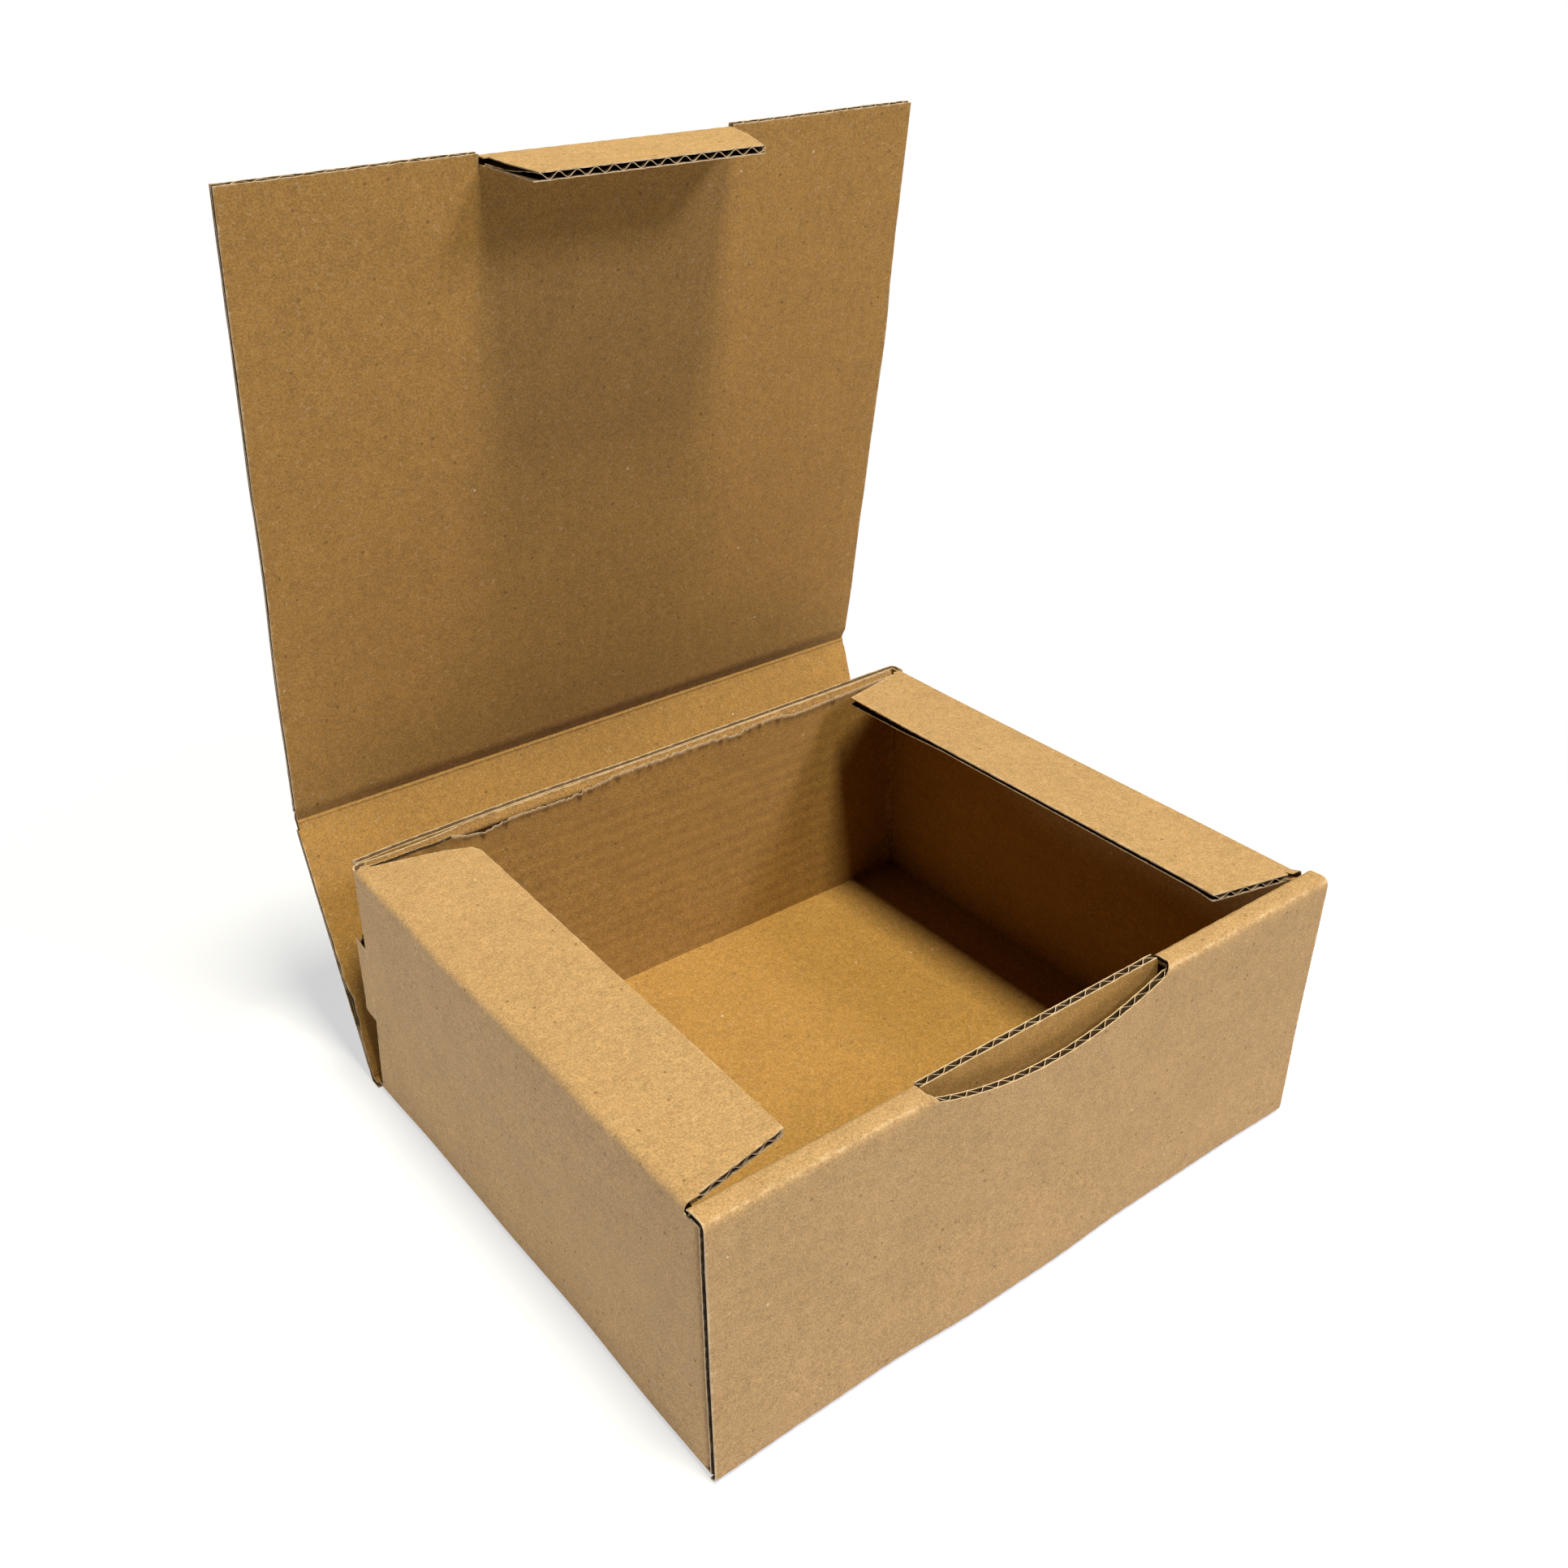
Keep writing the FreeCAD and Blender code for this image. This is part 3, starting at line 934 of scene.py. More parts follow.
def outer_profile(parent, child, out_parent, out_child, radius, lead, soft):
    """Round the outside of a crease: flat, an arc of a softer radius within the corner, flat."""
    turn = out_parent.angle(out_child)
    steps = max(4, math.ceil(math.degrees(turn) / 11))
    corner = (out_parent + out_child).normalized() * (radius / math.cos(turn / 2))
    middle = corner * (1 - soft / radius)
    points = [parent * lead + out_parent * radius]
    normals = [out_parent]
    for step in range(steps + 1):
        normal = out_parent.slerp(out_child, step / steps)
        points.append(middle + normal * soft)
        normals.append(normal)
    points.append(child * lead + out_child * radius)
    normals.append(out_child)
    return points, normals


def inner_profile(parent, child, in_parent, in_child, radius, lead):
    """Inside a crease: flat, a small bead where the paper is pushed together, flat."""
    opening = parent.angle(child)
    near = radius / math.tan(opening / 2)
    start = parent * (near + BEAD) + in_parent * radius
    end = child * (near + BEAD) + in_child * radius
    corner = parent * near + in_parent * radius
    bulge = (in_parent + in_child).normalized()
    points = [parent * lead + in_parent * radius]
    normals = [in_parent]
    for step in range(BEAD_STEPS + 1):
        share = step / BEAD_STEPS
        point = start * (1 - share) ** 2 + corner * 2 * share * (1 - share) + end * share ** 2
        point += bulge * BEAD_LIFT * math.exp(-((share - 0.3) / 0.16) ** 2)
        point -= bulge * GROOVE * math.exp(-((share - 0.62) / 0.12) ** 2)
        points.append(point)
        normals.append(in_parent.slerp(in_child, share))
    points.append(child * lead + in_child * radius)
    normals.append(in_child)
    return points, normals


def make_crease(name, axis, along, parent, child, spans, soft, wave):
    """Both liners across a moving crease, from one board to the next."""
    sizes = board_sizes()
    radius = sizes.board / 2 - sizes.liner / 2
    hand = along.cross(parent).normalized()
    inward_parent = hand if hand.dot(child) > 0 else -hand
    hand = along.cross(child).normalized()
    inward_child = hand if hand.dot(parent) > 0 else -hand
    outer = outer_profile(parent, child, -inward_parent, -inward_child, radius, LEAD, soft)
    inner = inner_profile(parent, child, inward_parent, inward_child, radius, LEAD)
    parts = [
        bent_liner(name + "_outside", outer, along, axis, spans, "outside", wave),
        bent_liner(name + "_inside", inner, along, axis, spans, "inside", wave),
    ]
    piece = join(name, parts)
    thicken(piece)
    return piece


def blend_crease(piece):
    """Bakes the crease's placement into its mesh."""
    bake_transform(piece)


class MAILING_OT_creases(bpy.types.Operator):
    """Makes the five creases that move and the two fixed ones along the base"""
    bl_idname = "mailing.creases"
    bl_label = "Creases"

    def execute(self, context):
        cover = (
            ("back_crease", BACK_AXIS, -Y_AXIS, BACK_UP, -COVER_HALF, COVER_HALF),
            ("lid_crease", LID_AXIS, -BACK_UP, LID_UP, -COVER_HALF, COVER_HALF),
            ("tuck_crease", TUCK_AXIS, -LID_UP, TUCK_OUT, TUCK_TORN - TUCK_HALF, TUCK_HALF),
        )
        for name, axis, parent, child, left, right in cover:
            spans = columns(left, right, LINER_COLUMNS)
            piece = make_crease(name, axis, X_AXIS, parent, child, spans, COVER_FOLD, True)
            where = places(piece)
            where[:, 0] += box_sizes().cover_shift
            put_places(piece, where)
            if name == "lid_crease":
                bow_lid(piece)
            blend_crease(piece)
        for side, name in FLAP_JOINTS.items():
            axis = Vector(JOINTS[name]["pos_m"])
            child = flap_across(side)
            spans = np.linspace(FLAP_FRONT, FLAP_REAR, PLAIN_COLUMNS)
            piece = make_crease(name, axis, Y_AXIS, -Z_AXIS, child, spans, FLAP_FOLD, False)
            settle_tray(piece)
            blend_crease(piece)
        for side, name in ((-1, "left_foot_fold"), (1, "right_foot_fold")):
            piece = make_foot_fold(name, side)
            settle_tray(piece)
            finish_piece(piece, "tray", "tray")
        return {"FINISHED"}


FOOT_STEPS = 8


def make_foot_fold(name, side):
    """The fixed fold between the base and a side wall."""
    sizes = board_sizes()
    reach = fold_reach()
    middle = Vector((side * (HALF_WIDTH - reach), 0, reach))
    spans = np.linspace(FRONT + sizes.board + LAYER_GAP, REAR, PLAIN_COLUMNS)
    outward = Vector((side, 0, 0))
    turned = [(-Z_AXIS).slerp(outward, k / FOOT_STEPS) for k in range(FOOT_STEPS + 1)]
    layers = []
    for material, radius in (("outside", reach - sizes.liner / 2),
                             ("inside", reach - sizes.board + sizes.liner / 2)):
        profile = ([turn * radius for turn in turned], turned)
        layers.append(bent_liner(name + "_" + material, profile, Y_AXIS, middle, spans, material, False))
    piece = join(name, layers)
    thicken(piece)
    return piece


# Cover panels


# (height above the crease, depth) of the tear at the back panel's left edge
BACK_TEAR = in_mm((0, 0.0), (20, 0.1), (24, 1.3), (28, 1.0), (30, 0.4), (33, 1.5), (37, 0.5), (41, 0.1),
                  (46, 0.5), (52, 0.1), (58, 0.4), (64, 0.1), (103, 0.0))
BACK_TEAR_WIDTH = 12 * MM
# how far the lid's rim rises past the tuck flap's crease, along the lid
LID_RIM = in_mm((-126, 0.1), (-50, 0.9), (50, 1.1), (126, 1.9))
LID_RIM_HEIGHT = 1.2 * MM
# half the step in the lid's rim, and the tuck flap that is creased on there
TUCK_GAP = 47.9 * MM
TUCK_HALF = 47.7 * MM
TUCK_TIP = 43.0 * MM
TUCK_LENGTH = 29.0 * MM
TUCK_DROOP = 0.4 * MM
# how much of the tuck flap's left side is torn away
TUCK_TORN = 1.2 * MM


def stand_panel(piece, axis, up):
    """Moves a flat board, outer face down, so that it rises from its crease in the given direction."""
    sizes = board_sizes()
    out = -X_AXIS.cross(up)
    lie = places(piece)
    offset = lie[:, 2] - sizes.board / 2
    where = np.array(axis) + np.outer(lie[:, 0], X_AXIS) + np.outer(lie[:, 1], up) - np.outer(offset, out)
    put_places(piece, where)


def make_back_board(name):
    """The back panel between its two creases."""
    end = BACK_LENGTH - LEAD
    ys = rows([LEAD, end], ROW / 2)

    def shape(layer, material):
        if material != "outside":
            tear_side(layer, 1.0 if material == "inside" else 0.85)

    piece = make_board(name, (-COVER_HALF, COVER_HALF), ys, (), shape, 31.0, ((1, LEAD), (1, end)))
    stand_panel(piece, BACK_AXIS, BACK_UP)
    return piece


def tear_side(layer, amount):
    """Pulls a layer back from the left edge of the back panel where it is torn."""
    where = places(layer)
    near = 1 - smooth(where[:, 0], -COVER_HALF, -COVER_HALF + BACK_TEAR_WIDTH)
    depth = along_points(where[:, 1], BACK_TEAR)
    where[:, 0] += near * depth * amount
    put_places(layer, where)


def make_lid_board(name):
    """The lid panel with the step at its free edge where the tuck flap is creased on."""
    top = LID_LENGTH + LID_RIM_HEIGHT
    seat = LID_LENGTH - LEAD
    left, right = TUCK_TORN - TUCK_GAP, TUCK_GAP

    def shape(layer, material):
        delete_faces(layer, lambda c: left < c.x < right and c.y > seat)
        where = places(layer)
        rise = along_points(where[:, 0], LID_RIM)
        where[:, 1] += rise * smooth(where[:, 1], seat + SLACK, top)
        put_places(layer, where)

    # closer rows where the lid bows
    ys = rows([LEAD, 5.5 * MM, 7 * MM, 9 * MM, seat, top - EDGE_ROW, top], ROW)
    joined = ((1, LEAD), (1, seat))
    piece = make_board(name, (-COVER_HALF, COVER_HALF), ys, (left, right), shape, 41.0, joined)
    stand_panel(piece, LID_AXIS, LID_UP)
    return piece


def make_tuck_board(name):
    """The tongue at the lid's free edge, its left corner torn."""
    slope = (TUCK_HALF - TUCK_TIP) / TUCK_LENGTH

    def shape(layer, material):
        # the right side and its worn corner, then the torn left side, where the outer liner ends first
        trim(layer, (TUCK_HALF, 0, 0), (1, slope, 0))
        trim(layer, (TUCK_HALF - (1.5 if material == "outside" else 0.6) * MM, 11 * MM, 0), (1, 0.36, 0))
        trim(layer, (-TUCK_HALF + TUCK_TORN, 0, 0), (-1, slope * (0.6 if material == "inside" else 1.0), 0))
        if material == "outside":
            trim(layer, (-TUCK_HALF + 3.5 * MM, 15 * MM, 0), (-1, 0.05, 0))

    ys = rows([LEAD, TUCK_LENGTH - EDGE_ROW, TUCK_LENGTH], 1.6 * MM)
    piece = make_board(name, (-TUCK_HALF, TUCK_HALF), ys, (), shape, 51.0, ((1, LEAD),))
    stand_panel(piece, TUCK_AXIS, TUCK_OUT)
    return piece


class MAILING_OT_cover(bpy.types.Operator):
    """Makes the back panel, the lid panel and the tuck flap"""
    bl_idname = "mailing.cover"
    bl_label = "Cover"

    def execute(self, context):
        back = make_back_board("back_board")
        thicken(back, 1)
        settle_cover(back)
        finish_piece(back, "back", "back_panel")
        lid = make_lid_board("lid_board")
        thicken(lid, 1)
        settle_cover(lid)
        bow_lid(lid)
        finish_piece(lid, "lid", "lid_panel")
        tuck = make_tuck_board("tuck_board")
        thicken(tuck, 1)
        where = places(tuck)
        out = (where - np.array(TUCK_AXIS)) @ np.array(TUCK_OUT)
        where[:, 0] += box_sizes().cover_shift
        where[:, 2] -= TUCK_DROOP * smooth(out, 2 * MM, 50 * MM)
        put_places(tuck, where)
        finish_piece(tuck, "tuck", "tuck_flap")
        return {"FINISHED"}


# Dust flaps


# (narrowing to the front, slant of the front end, slant of the rear end, crushed rear corner) by side
FLAP_CUTS = {-1: (3.4 * MM, 0.15, 0.385, 5 * MM), 1: (0.0, 0.17, 0.27, 0.0)}
# (place, amount) along the right flap's free edge: crushed above 0, sagging below
FLAP_EDGE = in_mm((-95, 0.0), (-84, -0.9), (35, -1.0), (66, 0.3), (90, 0.8))
FLAP_EDGE_WIDTH = 9 * MM
RIGHT_FLAP_SHORT = 3.0 * MM


def flap_across(side):
    """Direction from a dust flap's crease to its free edge."""
    raised = math.radians(-JOINTS[FLAP_JOINTS[side]]["range_deg"][0])
    return Vector((-side * math.cos(raised), 0, math.sin(raised)))


def make_flap_board(name, side):
    """A dust flap with slanted ends; its flutes run along it."""
    width = box_sizes().flap_width
    narrow, front_slant, rear_slant, corner = FLAP_CUTS[side]

    def shape(layer, material):
        trim(layer, (0, FLAP_FRONT, 0), (front_slant, -1, 0))
        trim(layer, (0, FLAP_REAR, 0), (rear_slant, 1, 0))
        trim(layer, (width - 0.5 * narrow, 0, 0), (1, -0.5 * narrow / FLAP_REAR, 0))
        if corner:
            trim(layer, (width, FLAP_REAR - width * rear_slant - corner, 0), (1, 0.45, 0))
            trim(layer, (width - 0.6 * corner, FLAP_REAR - width * rear_slant, 0), (0.55, 1, 0))

    width = width if side < 0 else width - RIGHT_FLAP_SHORT
    ys = rows([FLAP_FRONT, FLAP_REAR], 2.5 * MM)
    piece = make_board(name, (LEAD, width), ys, (), shape, 61.0 + side, ((0, LEAD),))
    lie = places(piece)
    across = flap_across(side)
    out = side * Y_AXIS.cross(across)
    axis = Vector(JOINTS[FLAP_JOINTS[side]]["pos_m"])
    depth = lie[:, 2] - board_sizes().board / 2
    if side > 0:
        depth = depth + flap_edge(lie, width)
    where = np.array(axis) + np.outer(lie[:, 0], across) + np.outer(lie[:, 1], Y_AXIS)
    where -= np.outer(depth, out)
    put_places(piece, where)
    if side < 0:
        flip(piece)
    return piece


def flap_edge(lie, width):
    """How far the board is crushed or sags along the right flap's free edge, by place in its thickness."""
    through = np.clip(lie[:, 2] / board_sizes().board, 0, 1)
    at_edge = smooth(lie[:, 0], width - FLAP_EDGE_WIDTH, width)
    return through * at_edge * along_points(lie[:, 1], FLAP_EDGE)


class MAILING_OT_dust_flaps(bpy.types.Operator):
    """Makes both dust flaps"""
    bl_idname = "mailing.dust_flaps"
    bl_label = "Dust flaps"

    def execute(self, context):
        for side, word in ((-1, "left"), (1, "right")):
            piece = make_flap_board(word + "_flap_board", side)
            thicken(piece, 1)
            settle_tray(piece)
            finish_piece(piece, word + "_flap", word + "_dust_flap")
        return {"FINISHED"}


# Finishes


def add_node(tree, kind, place, **values):
    """A node at a place in the tree, with its settings and unlinked socket values."""
    node = tree.nodes.new(kind)
    node.location = place
    for key, value in values.items():
        if key in node.inputs:
            node.inputs[key].default_value = value
        else:
            setattr(node, key, value)
    return node


def grain_group():
    """Mottling, fibres and specks of recycled kraft paper."""
    group = bpy.data.node_groups.new("paper_grain", "ShaderNodeTree")
    face = group.interface
    face.new_socket("Colour", in_out="INPUT", socket_type="NodeSocketColor")
    face.new_socket("Strength", in_out="INPUT", socket_type="NodeSocketFloat")
    face.new_socket("Wear_and_highlight", in_out="INPUT", socket_type="NodeSocketFloat")
    face.new_socket("Colour", in_out="OUTPUT", socket_type="NodeSocketColor")
    face.new_socket("Height", in_out="OUTPUT", socket_type="NodeSocketFloat")
    face.new_socket("Roughness", in_out="OUTPUT", socket_type="NodeSocketFloat")
    source = add_node(group, "NodeGroupInput", (-1400, 0))
    result = add_node(group, "NodeGroupOutput", (1400, 0))
    coords = add_node(group, "ShaderNodeTexCoord", (-1400, -300))
    link = group.links.new

    def pattern(scale, detail, place, rough=0.5):
        node = add_node(group, "ShaderNodeTexNoise", place, Scale=scale, Detail=detail, Roughness=rough)
        link(coords.outputs["Object"], node.inputs["Vector"])
        return node.outputs["Fac"]

    def math_node(operation, a, b, place, clamp=False):
        node = add_node(group, "ShaderNodeMath", place, operation=operation, use_clamp=clamp)
        for socket, value in zip(node.inputs, (a, b)):
            if isinstance(value, (int, float)):
                socket.default_value = value
            else:
                link(value, socket)
        return node.outputs[0]

    def ranged(value, low, high, to_low, to_high, place):
        node = add_node(group, "ShaderNodeMapRange", place)
        node.interpolation_type = "SMOOTHSTEP"
        link(value, node.inputs["Value"])
        for key, number in (("From Min", low), ("From Max", high), ("To Min", to_low), ("To Max", to_high)):
            node.inputs[key].default_value = number
        return node.outputs["Result"]

    def mixed(factor, first, second, place, blend="MIX"):
        node = add_node(group, "ShaderNodeMix", place, data_type="RGBA", blend_type=blend)
        sockets = [s for s in node.inputs if s.enabled]
        for socket, value in zip(sockets, (factor, first, second)):
            if isinstance(value, (int, float, tuple)):
                socket.default_value = value
            else:
                link(value, socket)
        return [s for s in node.outputs if s.enabled][0]

    clouds = pattern(60, 2, (-1100, 500))
    mottle = pattern(330, 4, (-1100, 250), 0.6)
    grain = pattern(1600, 2, (-1100, 0), 0.65)
    cloud_shade = ranged(clouds, 0.3, 0.7, 0.965, 1.03, (-800, 500))
    mottle_shade = ranged(mottle, 0.3, 0.7, 0.92, 1.07, (-800, 250))
    grain_shade = ranged(grain, 0.32, 0.68, 0.78, 1.2, (-800, 0))
    shade = math_node("MULTIPLY", cloud_shade, mottle_shade, (-550, 400))
    shade = math_node("MULTIPLY", shade, grain_shade, (-400, 300))
    even = math_node("SUBTRACT", shade, 1.0, (-250, 300))
    even = math_node("MULTIPLY", even, source.outputs["Strength"], (-100, 300))
    shade = math_node("ADD", even, 1.0, (50, 300))
    tinted = mixed(1.0, source.outputs["Colour"], shade, (200, 300), "MULTIPLY")

    # short fibres: thin bands of one noise, broken up by another
    fibre_lines = pattern(430, 1, (-1100, -300))
    fibre_breaks = pattern(520, 1, (-1100, -500))
    band = math_node("ABSOLUTE", math_node("SUBTRACT", fibre_lines, 0.5, (-800, -300)), 0, (-650, -300))
    band = ranged(band, 0.0, 0.03, 1.0, 0.0, (-500, -300))
    pale_fibre = ranged(fibre_breaks, 0.5, 0.62, 0, 0.28, (-500, -500))
    pale_fibre = math_node("MULTIPLY", band, pale_fibre, (-300, -300))
    dark_fibre = ranged(fibre_breaks, 0.46, 0.34, 0, 0.4, (-500, -700))
    dark_fibre = math_node("MULTIPLY", band, dark_fibre, (-300, -500))
    tinted = mixed(pale_fibre, tinted, (0.52, 0.40, 0.26, 1), (350, 100))
    tinted = mixed(dark_fibre, tinted, (0.137, 0.076, 0.029, 1), (500, 0))

    def specks(scale, size, chosen, place):
        cell = add_node(group, "ShaderNodeTexVoronoi", place, Scale=scale)
        link(coords.outputs["Object"], cell.inputs["Vector"])
        parts = add_node(group, "ShaderNodeSeparateColor", (place[0] + 200, place[1] - 100))
        link(cell.outputs["Color"], parts.inputs["Color"])
        near = ranged(cell.outputs["Distance"], size * 0.6, size, 1, 0, (place[0] + 200, place[1]))
        pick = math_node("GREATER_THAN", parts.outputs["Red"], 1 - chosen, (place[0] + 400, place[1] - 100))
        return math_node("MULTIPLY", near, pick, (place[0] + 600, place[1]))

    dark_specks = math_node("MULTIPLY", specks(170, 0.12, 0.5, (-700, -900)), 0.6, (100, -500))
    big_specks = math_node("MULTIPLY", specks(34, 0.03, 0.4, (-700, -1200)), 0.8, (100, -700))
    pale_specks = math_node("MULTIPLY", specks(95, 0.055, 0.3, (-700, -1500)), 0.6, (100, -900))
    tinted = mixed(dark_specks, tinted, (0.115, 0.061, 0.022, 1), (650, -100))
    tinted = mixed(big_specks, tinted, (0.072, 0.040, 0.014, 1), (800, -200))
    tinted = mixed(pale_specks, tinted, (0.62, 0.53, 0.40, 1), (950, -300))

    # rubbed edges and creases: paler, with an uneven border; on the creases partly painted highlight
    border = ranged(mottle, 0.3, 0.7, -0.45, 0.25, (300, -700))
    rub_and_highlight = math_node("ADD", source.outputs["Wear_and_highlight"], border, (500, -700))
    rub_and_highlight = ranged(rub_and_highlight, 0.35, 1.15, 0.0, 0.42, (650, -700))
    tinted = mixed(rub_and_highlight, tinted, (0.58, 0.46, 0.31, 1), (1100, -300))
    link(tinted, result.inputs["Colour"])

    height = math_node("MULTIPLY", mottle, 0.6, (900, 300))
    height = math_node("ADD", height, math_node("MULTIPLY", grain, 0.4, (900, 150)), (1050, 300))
    height = math_node("ADD", height, math_node("MULTIPLY", pale_fibre, 0.5, (900, 0)), (1200, 300))
    link(height, result.inputs["Height"])
    link(ranged(mottle, 0.3, 0.7, 0.82, 0.95, (1050, 0)), result.inputs["Roughness"])
    return group


BUMP_DEPTH = 0.25 * MM


def kraft_material(name, colour, strength, bump):
    """Kraft paper in one of the box's finishes."""
    material = bpy.data.materials.new(name)
    material.use_nodes = True
    tree = material.node_tree
    shader = tree.nodes["Principled BSDF"]
    grain = add_node(tree, "ShaderNodeGroup", (-500, 200), node_tree=bpy.data.node_groups["paper_grain"])
    grain.inputs["Colour"].default_value = (*colour, 1)
    grain.inputs["Strength"].default_value = strength
    wear_and_highlight = add_node(tree, "ShaderNodeAttribute", (-800, 0), attribute_name="wear_and_highlight")
    relief = add_node(tree, "ShaderNodeBump", (-250, -200), Strength=bump, Distance=BUMP_DEPTH)
    tree.links.new(wear_and_highlight.outputs["Fac"], grain.inputs["Wear_and_highlight"])
    tree.links.new(grain.outputs["Colour"], shader.inputs["Base Color"])
    tree.links.new(grain.outputs["Roughness"], shader.inputs["Roughness"])
    tree.links.new(grain.outputs["Height"], relief.inputs["Height"])
    tree.links.new(relief.outputs["Normal"], shader.inputs["Normal"])
    shader.inputs["Specular IOR Level"].default_value = 0.25
    return material


class MAILING_OT_finishes(bpy.types.Operator):
    """Makes the paper finishes"""
    bl_idname = "mailing.finishes"
    bl_label = "Finishes"

    def execute(self, context):
        grain_group()
        for finish, (strength, bump) in FINISHES.items():
            kraft_material("kraft_" + finish, getattr(colours(), finish), strength, bump)
        return {"FINISHED"}


# Stage


CAMERA_PLACE = Vector((-0.28437, -0.35218, 0.39337))
CAMERA_TURN = Vector((1.01276, -0.33671, -0.59684))
CAMERA_LENS = 36.53
FLOOR_RADIUS = 0.9
# just under the base, so that the two don't share a plane
FLOOR_HEIGHT = -0.3 * MM
# radius within which the camera sees part of the floor, and how little of the backdrop it sees there
FLOOR_SEEN = 0.24
BACKDROP_SHARE = 0.6
# (name, place, what it faces, width, power, colour)
LAMPS = (
    ("overhead", (0.03, -0.80, 2.86), (0, 0, 0.05), 0.58, 139.0, (1.0, 0.93, 0.66)),
    ("front_right", (1.22, -2.03, 2.15), (0, 0, 0.1), 0.66, 50.0, (1.0, 0.99, 1.22)),
    ("left", (-1.3, 0.62, 0.17), (-0.12, 0, 0.06), 0.3, 9.2, (0.98, 1.0, 1.12)),
)


class MAILING_OT_stage(bpy.types.Operator):
    """Makes the floor, the lamps, the backdrop and the camera"""
    bl_idname = "mailing.stage"
    bl_label = "Stage"

    def execute(self, context):
        scene = context.scene
        camera = bpy.data.objects.new("camera", bpy.data.cameras.new("camera"))
        scene.collection.objects.link(camera)
        camera.location = CAMERA_PLACE
        camera.rotation_mode = "QUATERNION"
        camera.rotation_quaternion = Matrix.Rotation(CAMERA_TURN.length, 3, CAMERA_TURN).to_quaternion()
        camera.data.sensor_width = 36
        camera.data.lens = CAMERA_LENS
        camera.data.clip_start = 0.01
        scene.camera = camera
        make_floor()
        make_lamps(scene)
        scene.view_settings.view_transform = "Standard"
        return {"FINISHED"}


def make_floor():
    """A wide pale round floor, partly white to the camera and still taking shadow."""
    bpy.ops.object.select_all(action="DESELECT")
    bpy.ops.mesh.primitive_circle_add(
        vertices=96, radius=FLOOR_RADIUS, fill_type="NGON", location=(0, 0, FLOOR_HEIGHT))
    floor = bpy.context.object
    floor.name = "floor"
    bpy.ops.object.mode_set(mode="EDIT")
    bpy.ops.mesh.select_all(action="SELECT")
    bpy.ops.mesh.inset(thickness=FLOOR_RADIUS / 2)
    bpy.ops.object.mode_set(mode="OBJECT")
    material = bpy.data.materials.new("floor")
    material.use_nodes = True
    shader = material.node_tree.nodes["Principled BSDF"]
    shader.inputs["Base Color"].default_value = (*colours().floor, 1)
    shader.inputs["Roughness"].default_value = 0.9
    fade_floor(material.node_tree, shader)
    floor.data.materials.append(material)


def fade_floor(tree, shader):
    """Lets the camera see the white backdrop instead of the floor away from the box."""
    coords = add_node(tree, "ShaderNodeTexCoord", (-900, 400))
    away = add_node(tree, "ShaderNodeVectorMath", (-700, 400), operation="LENGTH")
    share = add_node(tree, "ShaderNodeMapRange", (-500, 400))
    share.interpolation_type = "SMOOTHSTEP"
    share.inputs["From Min"].default_value = FLOOR_SEEN
    share.inputs["From Max"].default_value = 2 * FLOOR_SEEN
    share.inputs["To Min"].default_value = BACKDROP_SHARE
    path = add_node(tree, "ShaderNodeLightPath", (-700, 700))
    both = add_node(tree, "ShaderNodeMath", (-300, 500), operation="MULTIPLY")
    clear = add_node(tree, "ShaderNodeBsdfTransparent", (0, 500))
    mix = add_node(tree, "ShaderNodeMixShader", (300, 300))
    link = tree.links.new
    link(coords.outputs["Object"], away.inputs[0])
    link(away.outputs["Value"], share.inputs["Value"])
    link(share.outputs["Result"], both.inputs[0])
    link(path.outputs["Is Camera Ray"], both.inputs[1])
    link(both.outputs[0], mix.inputs[0])
    link(shader.outputs[0], mix.inputs[1])
    link(clear.outputs[0], mix.inputs[2])
    link(mix.outputs[0], tree.nodes["Material Output"].inputs["Surface"])


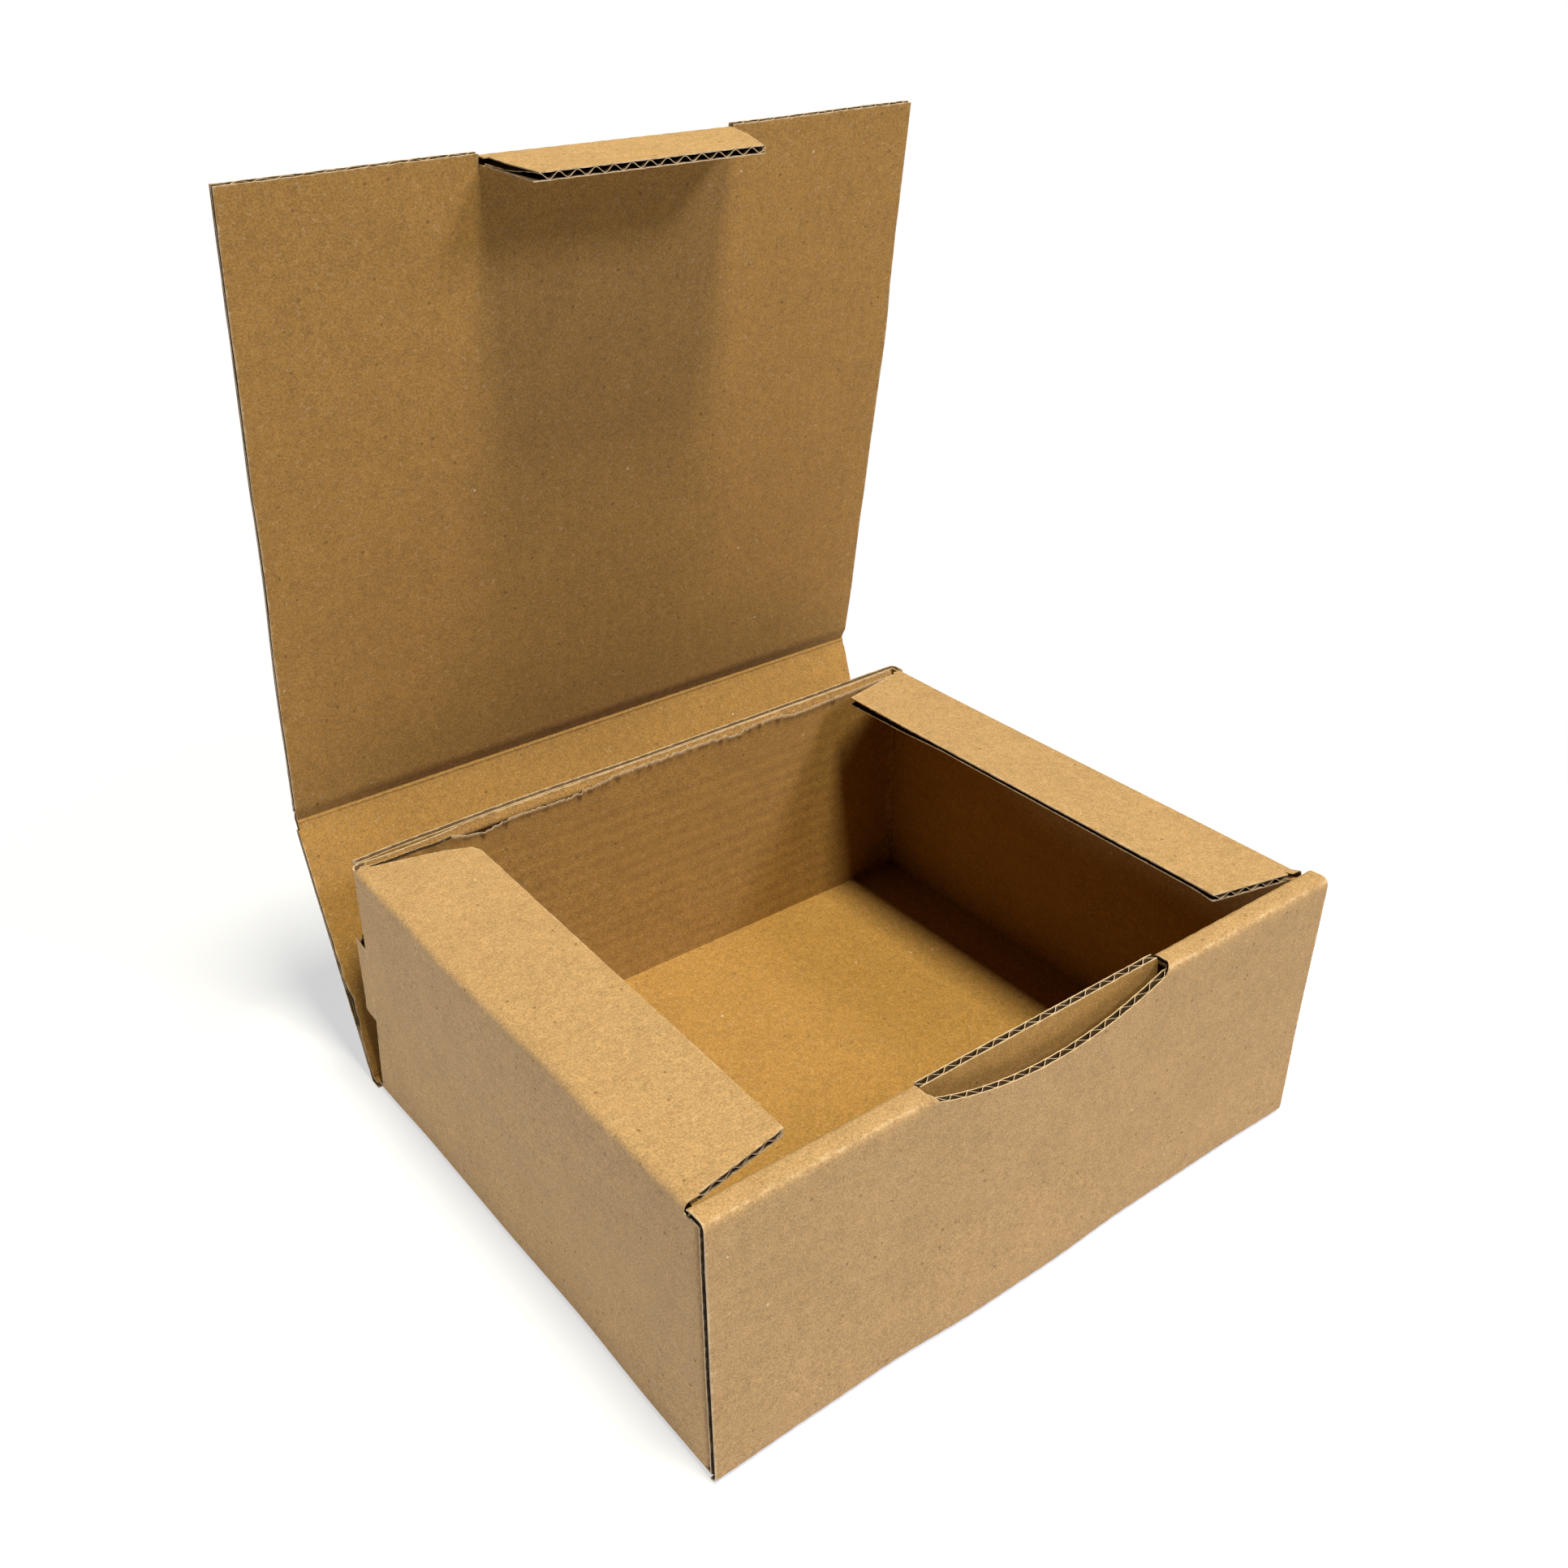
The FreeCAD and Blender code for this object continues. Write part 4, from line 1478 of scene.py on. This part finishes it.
def make_lamps(scene):
    """Three soft boxes and a dim world that shows white behind the box."""
    for name, place, aim, size, power, colour in LAMPS:
        data = bpy.data.lights.new(name, "AREA")
        data.size = size
        data.energy = power
        data.color = colour
        lamp = bpy.data.objects.new(name, data)
        scene.collection.objects.link(lamp)
        lamp.location = place
        lamp.rotation_mode = "QUATERNION"
        lamp.rotation_quaternion = (Vector(aim) - Vector(place)).to_track_quat("-Z", "Y")
    world = bpy.data.worlds.new("studio")
    world.use_nodes = True
    scene.world = world
    tree = world.node_tree
    ambient = tree.nodes["Background"]
    ambient.inputs["Color"].default_value = (0.92, 0.96, 1.0, 1)
    ambient.inputs["Strength"].default_value = 0.0056
    white = add_node(tree, "ShaderNodeBackground", (0, -200), Color=(1, 1, 1, 1), Strength=1.0)
    path = add_node(tree, "ShaderNodeLightPath", (-200, 200))
    mix = add_node(tree, "ShaderNodeMixShader", (200, 0))
    tree.links.new(path.outputs["Is Camera Ray"], mix.inputs[0])
    tree.links.new(ambient.outputs[0], mix.inputs[1])
    tree.links.new(white.outputs[0], mix.inputs[2])
    tree.links.new(mix.outputs[0], tree.nodes["World Output"].inputs["Surface"])


class MAILING_PT_sidebar(bpy.types.Panel):
    """Lists the box's sizes, colours and steps"""
    bl_idname = "MAILING_PT_sidebar"
    bl_label = "Mailing box"
    bl_space_type = "VIEW_3D"
    bl_region_type = "UI"
    bl_category = "Mailing box"

    def draw(self, context):
        layout = self.layout
        for group in (context.scene.mailing_board, context.scene.mailing_box, context.scene.mailing_colours):
            column = layout.column(align=True)
            for name in group.bl_rna.properties.keys():
                if name not in ("rna_type", "name"):
                    column.prop(group, name)
        for step in STEPS:
            layout.operator(step.bl_idname)


STEPS = (
    MAILING_OT_finishes,
    MAILING_OT_base_and_front,
    MAILING_OT_side_walls,
    MAILING_OT_cover,
    MAILING_OT_dust_flaps,
    MAILING_OT_creases,
    MAILING_OT_stage,
)
GROUPS = (BoardSizes, BoxSizes, KraftColours)


def register():
    for item in (*GROUPS, *STEPS, MAILING_PT_sidebar):
        bpy.utils.register_class(item)
    bpy.types.Scene.mailing_board = bpy.props.PointerProperty(type=BoardSizes)
    bpy.types.Scene.mailing_box = bpy.props.PointerProperty(type=BoxSizes)
    bpy.types.Scene.mailing_colours = bpy.props.PointerProperty(type=KraftColours)


def unregister():
    del bpy.types.Scene.mailing_colours
    del bpy.types.Scene.mailing_box
    del bpy.types.Scene.mailing_board
    for item in (MAILING_PT_sidebar, *reversed(STEPS), *reversed(GROUPS)):
        bpy.utils.unregister_class(item)


def main():
    """Builds the box and its stage."""
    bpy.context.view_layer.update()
    register()
    bpy.ops.mailing.finishes()
    bpy.ops.mailing.base_and_front()
    bpy.ops.mailing.side_walls()
    bpy.ops.mailing.cover()
    bpy.ops.mailing.dust_flaps()
    bpy.ops.mailing.creases()
    bpy.ops.mailing.stage()


if __name__ == "__main__":
    main()
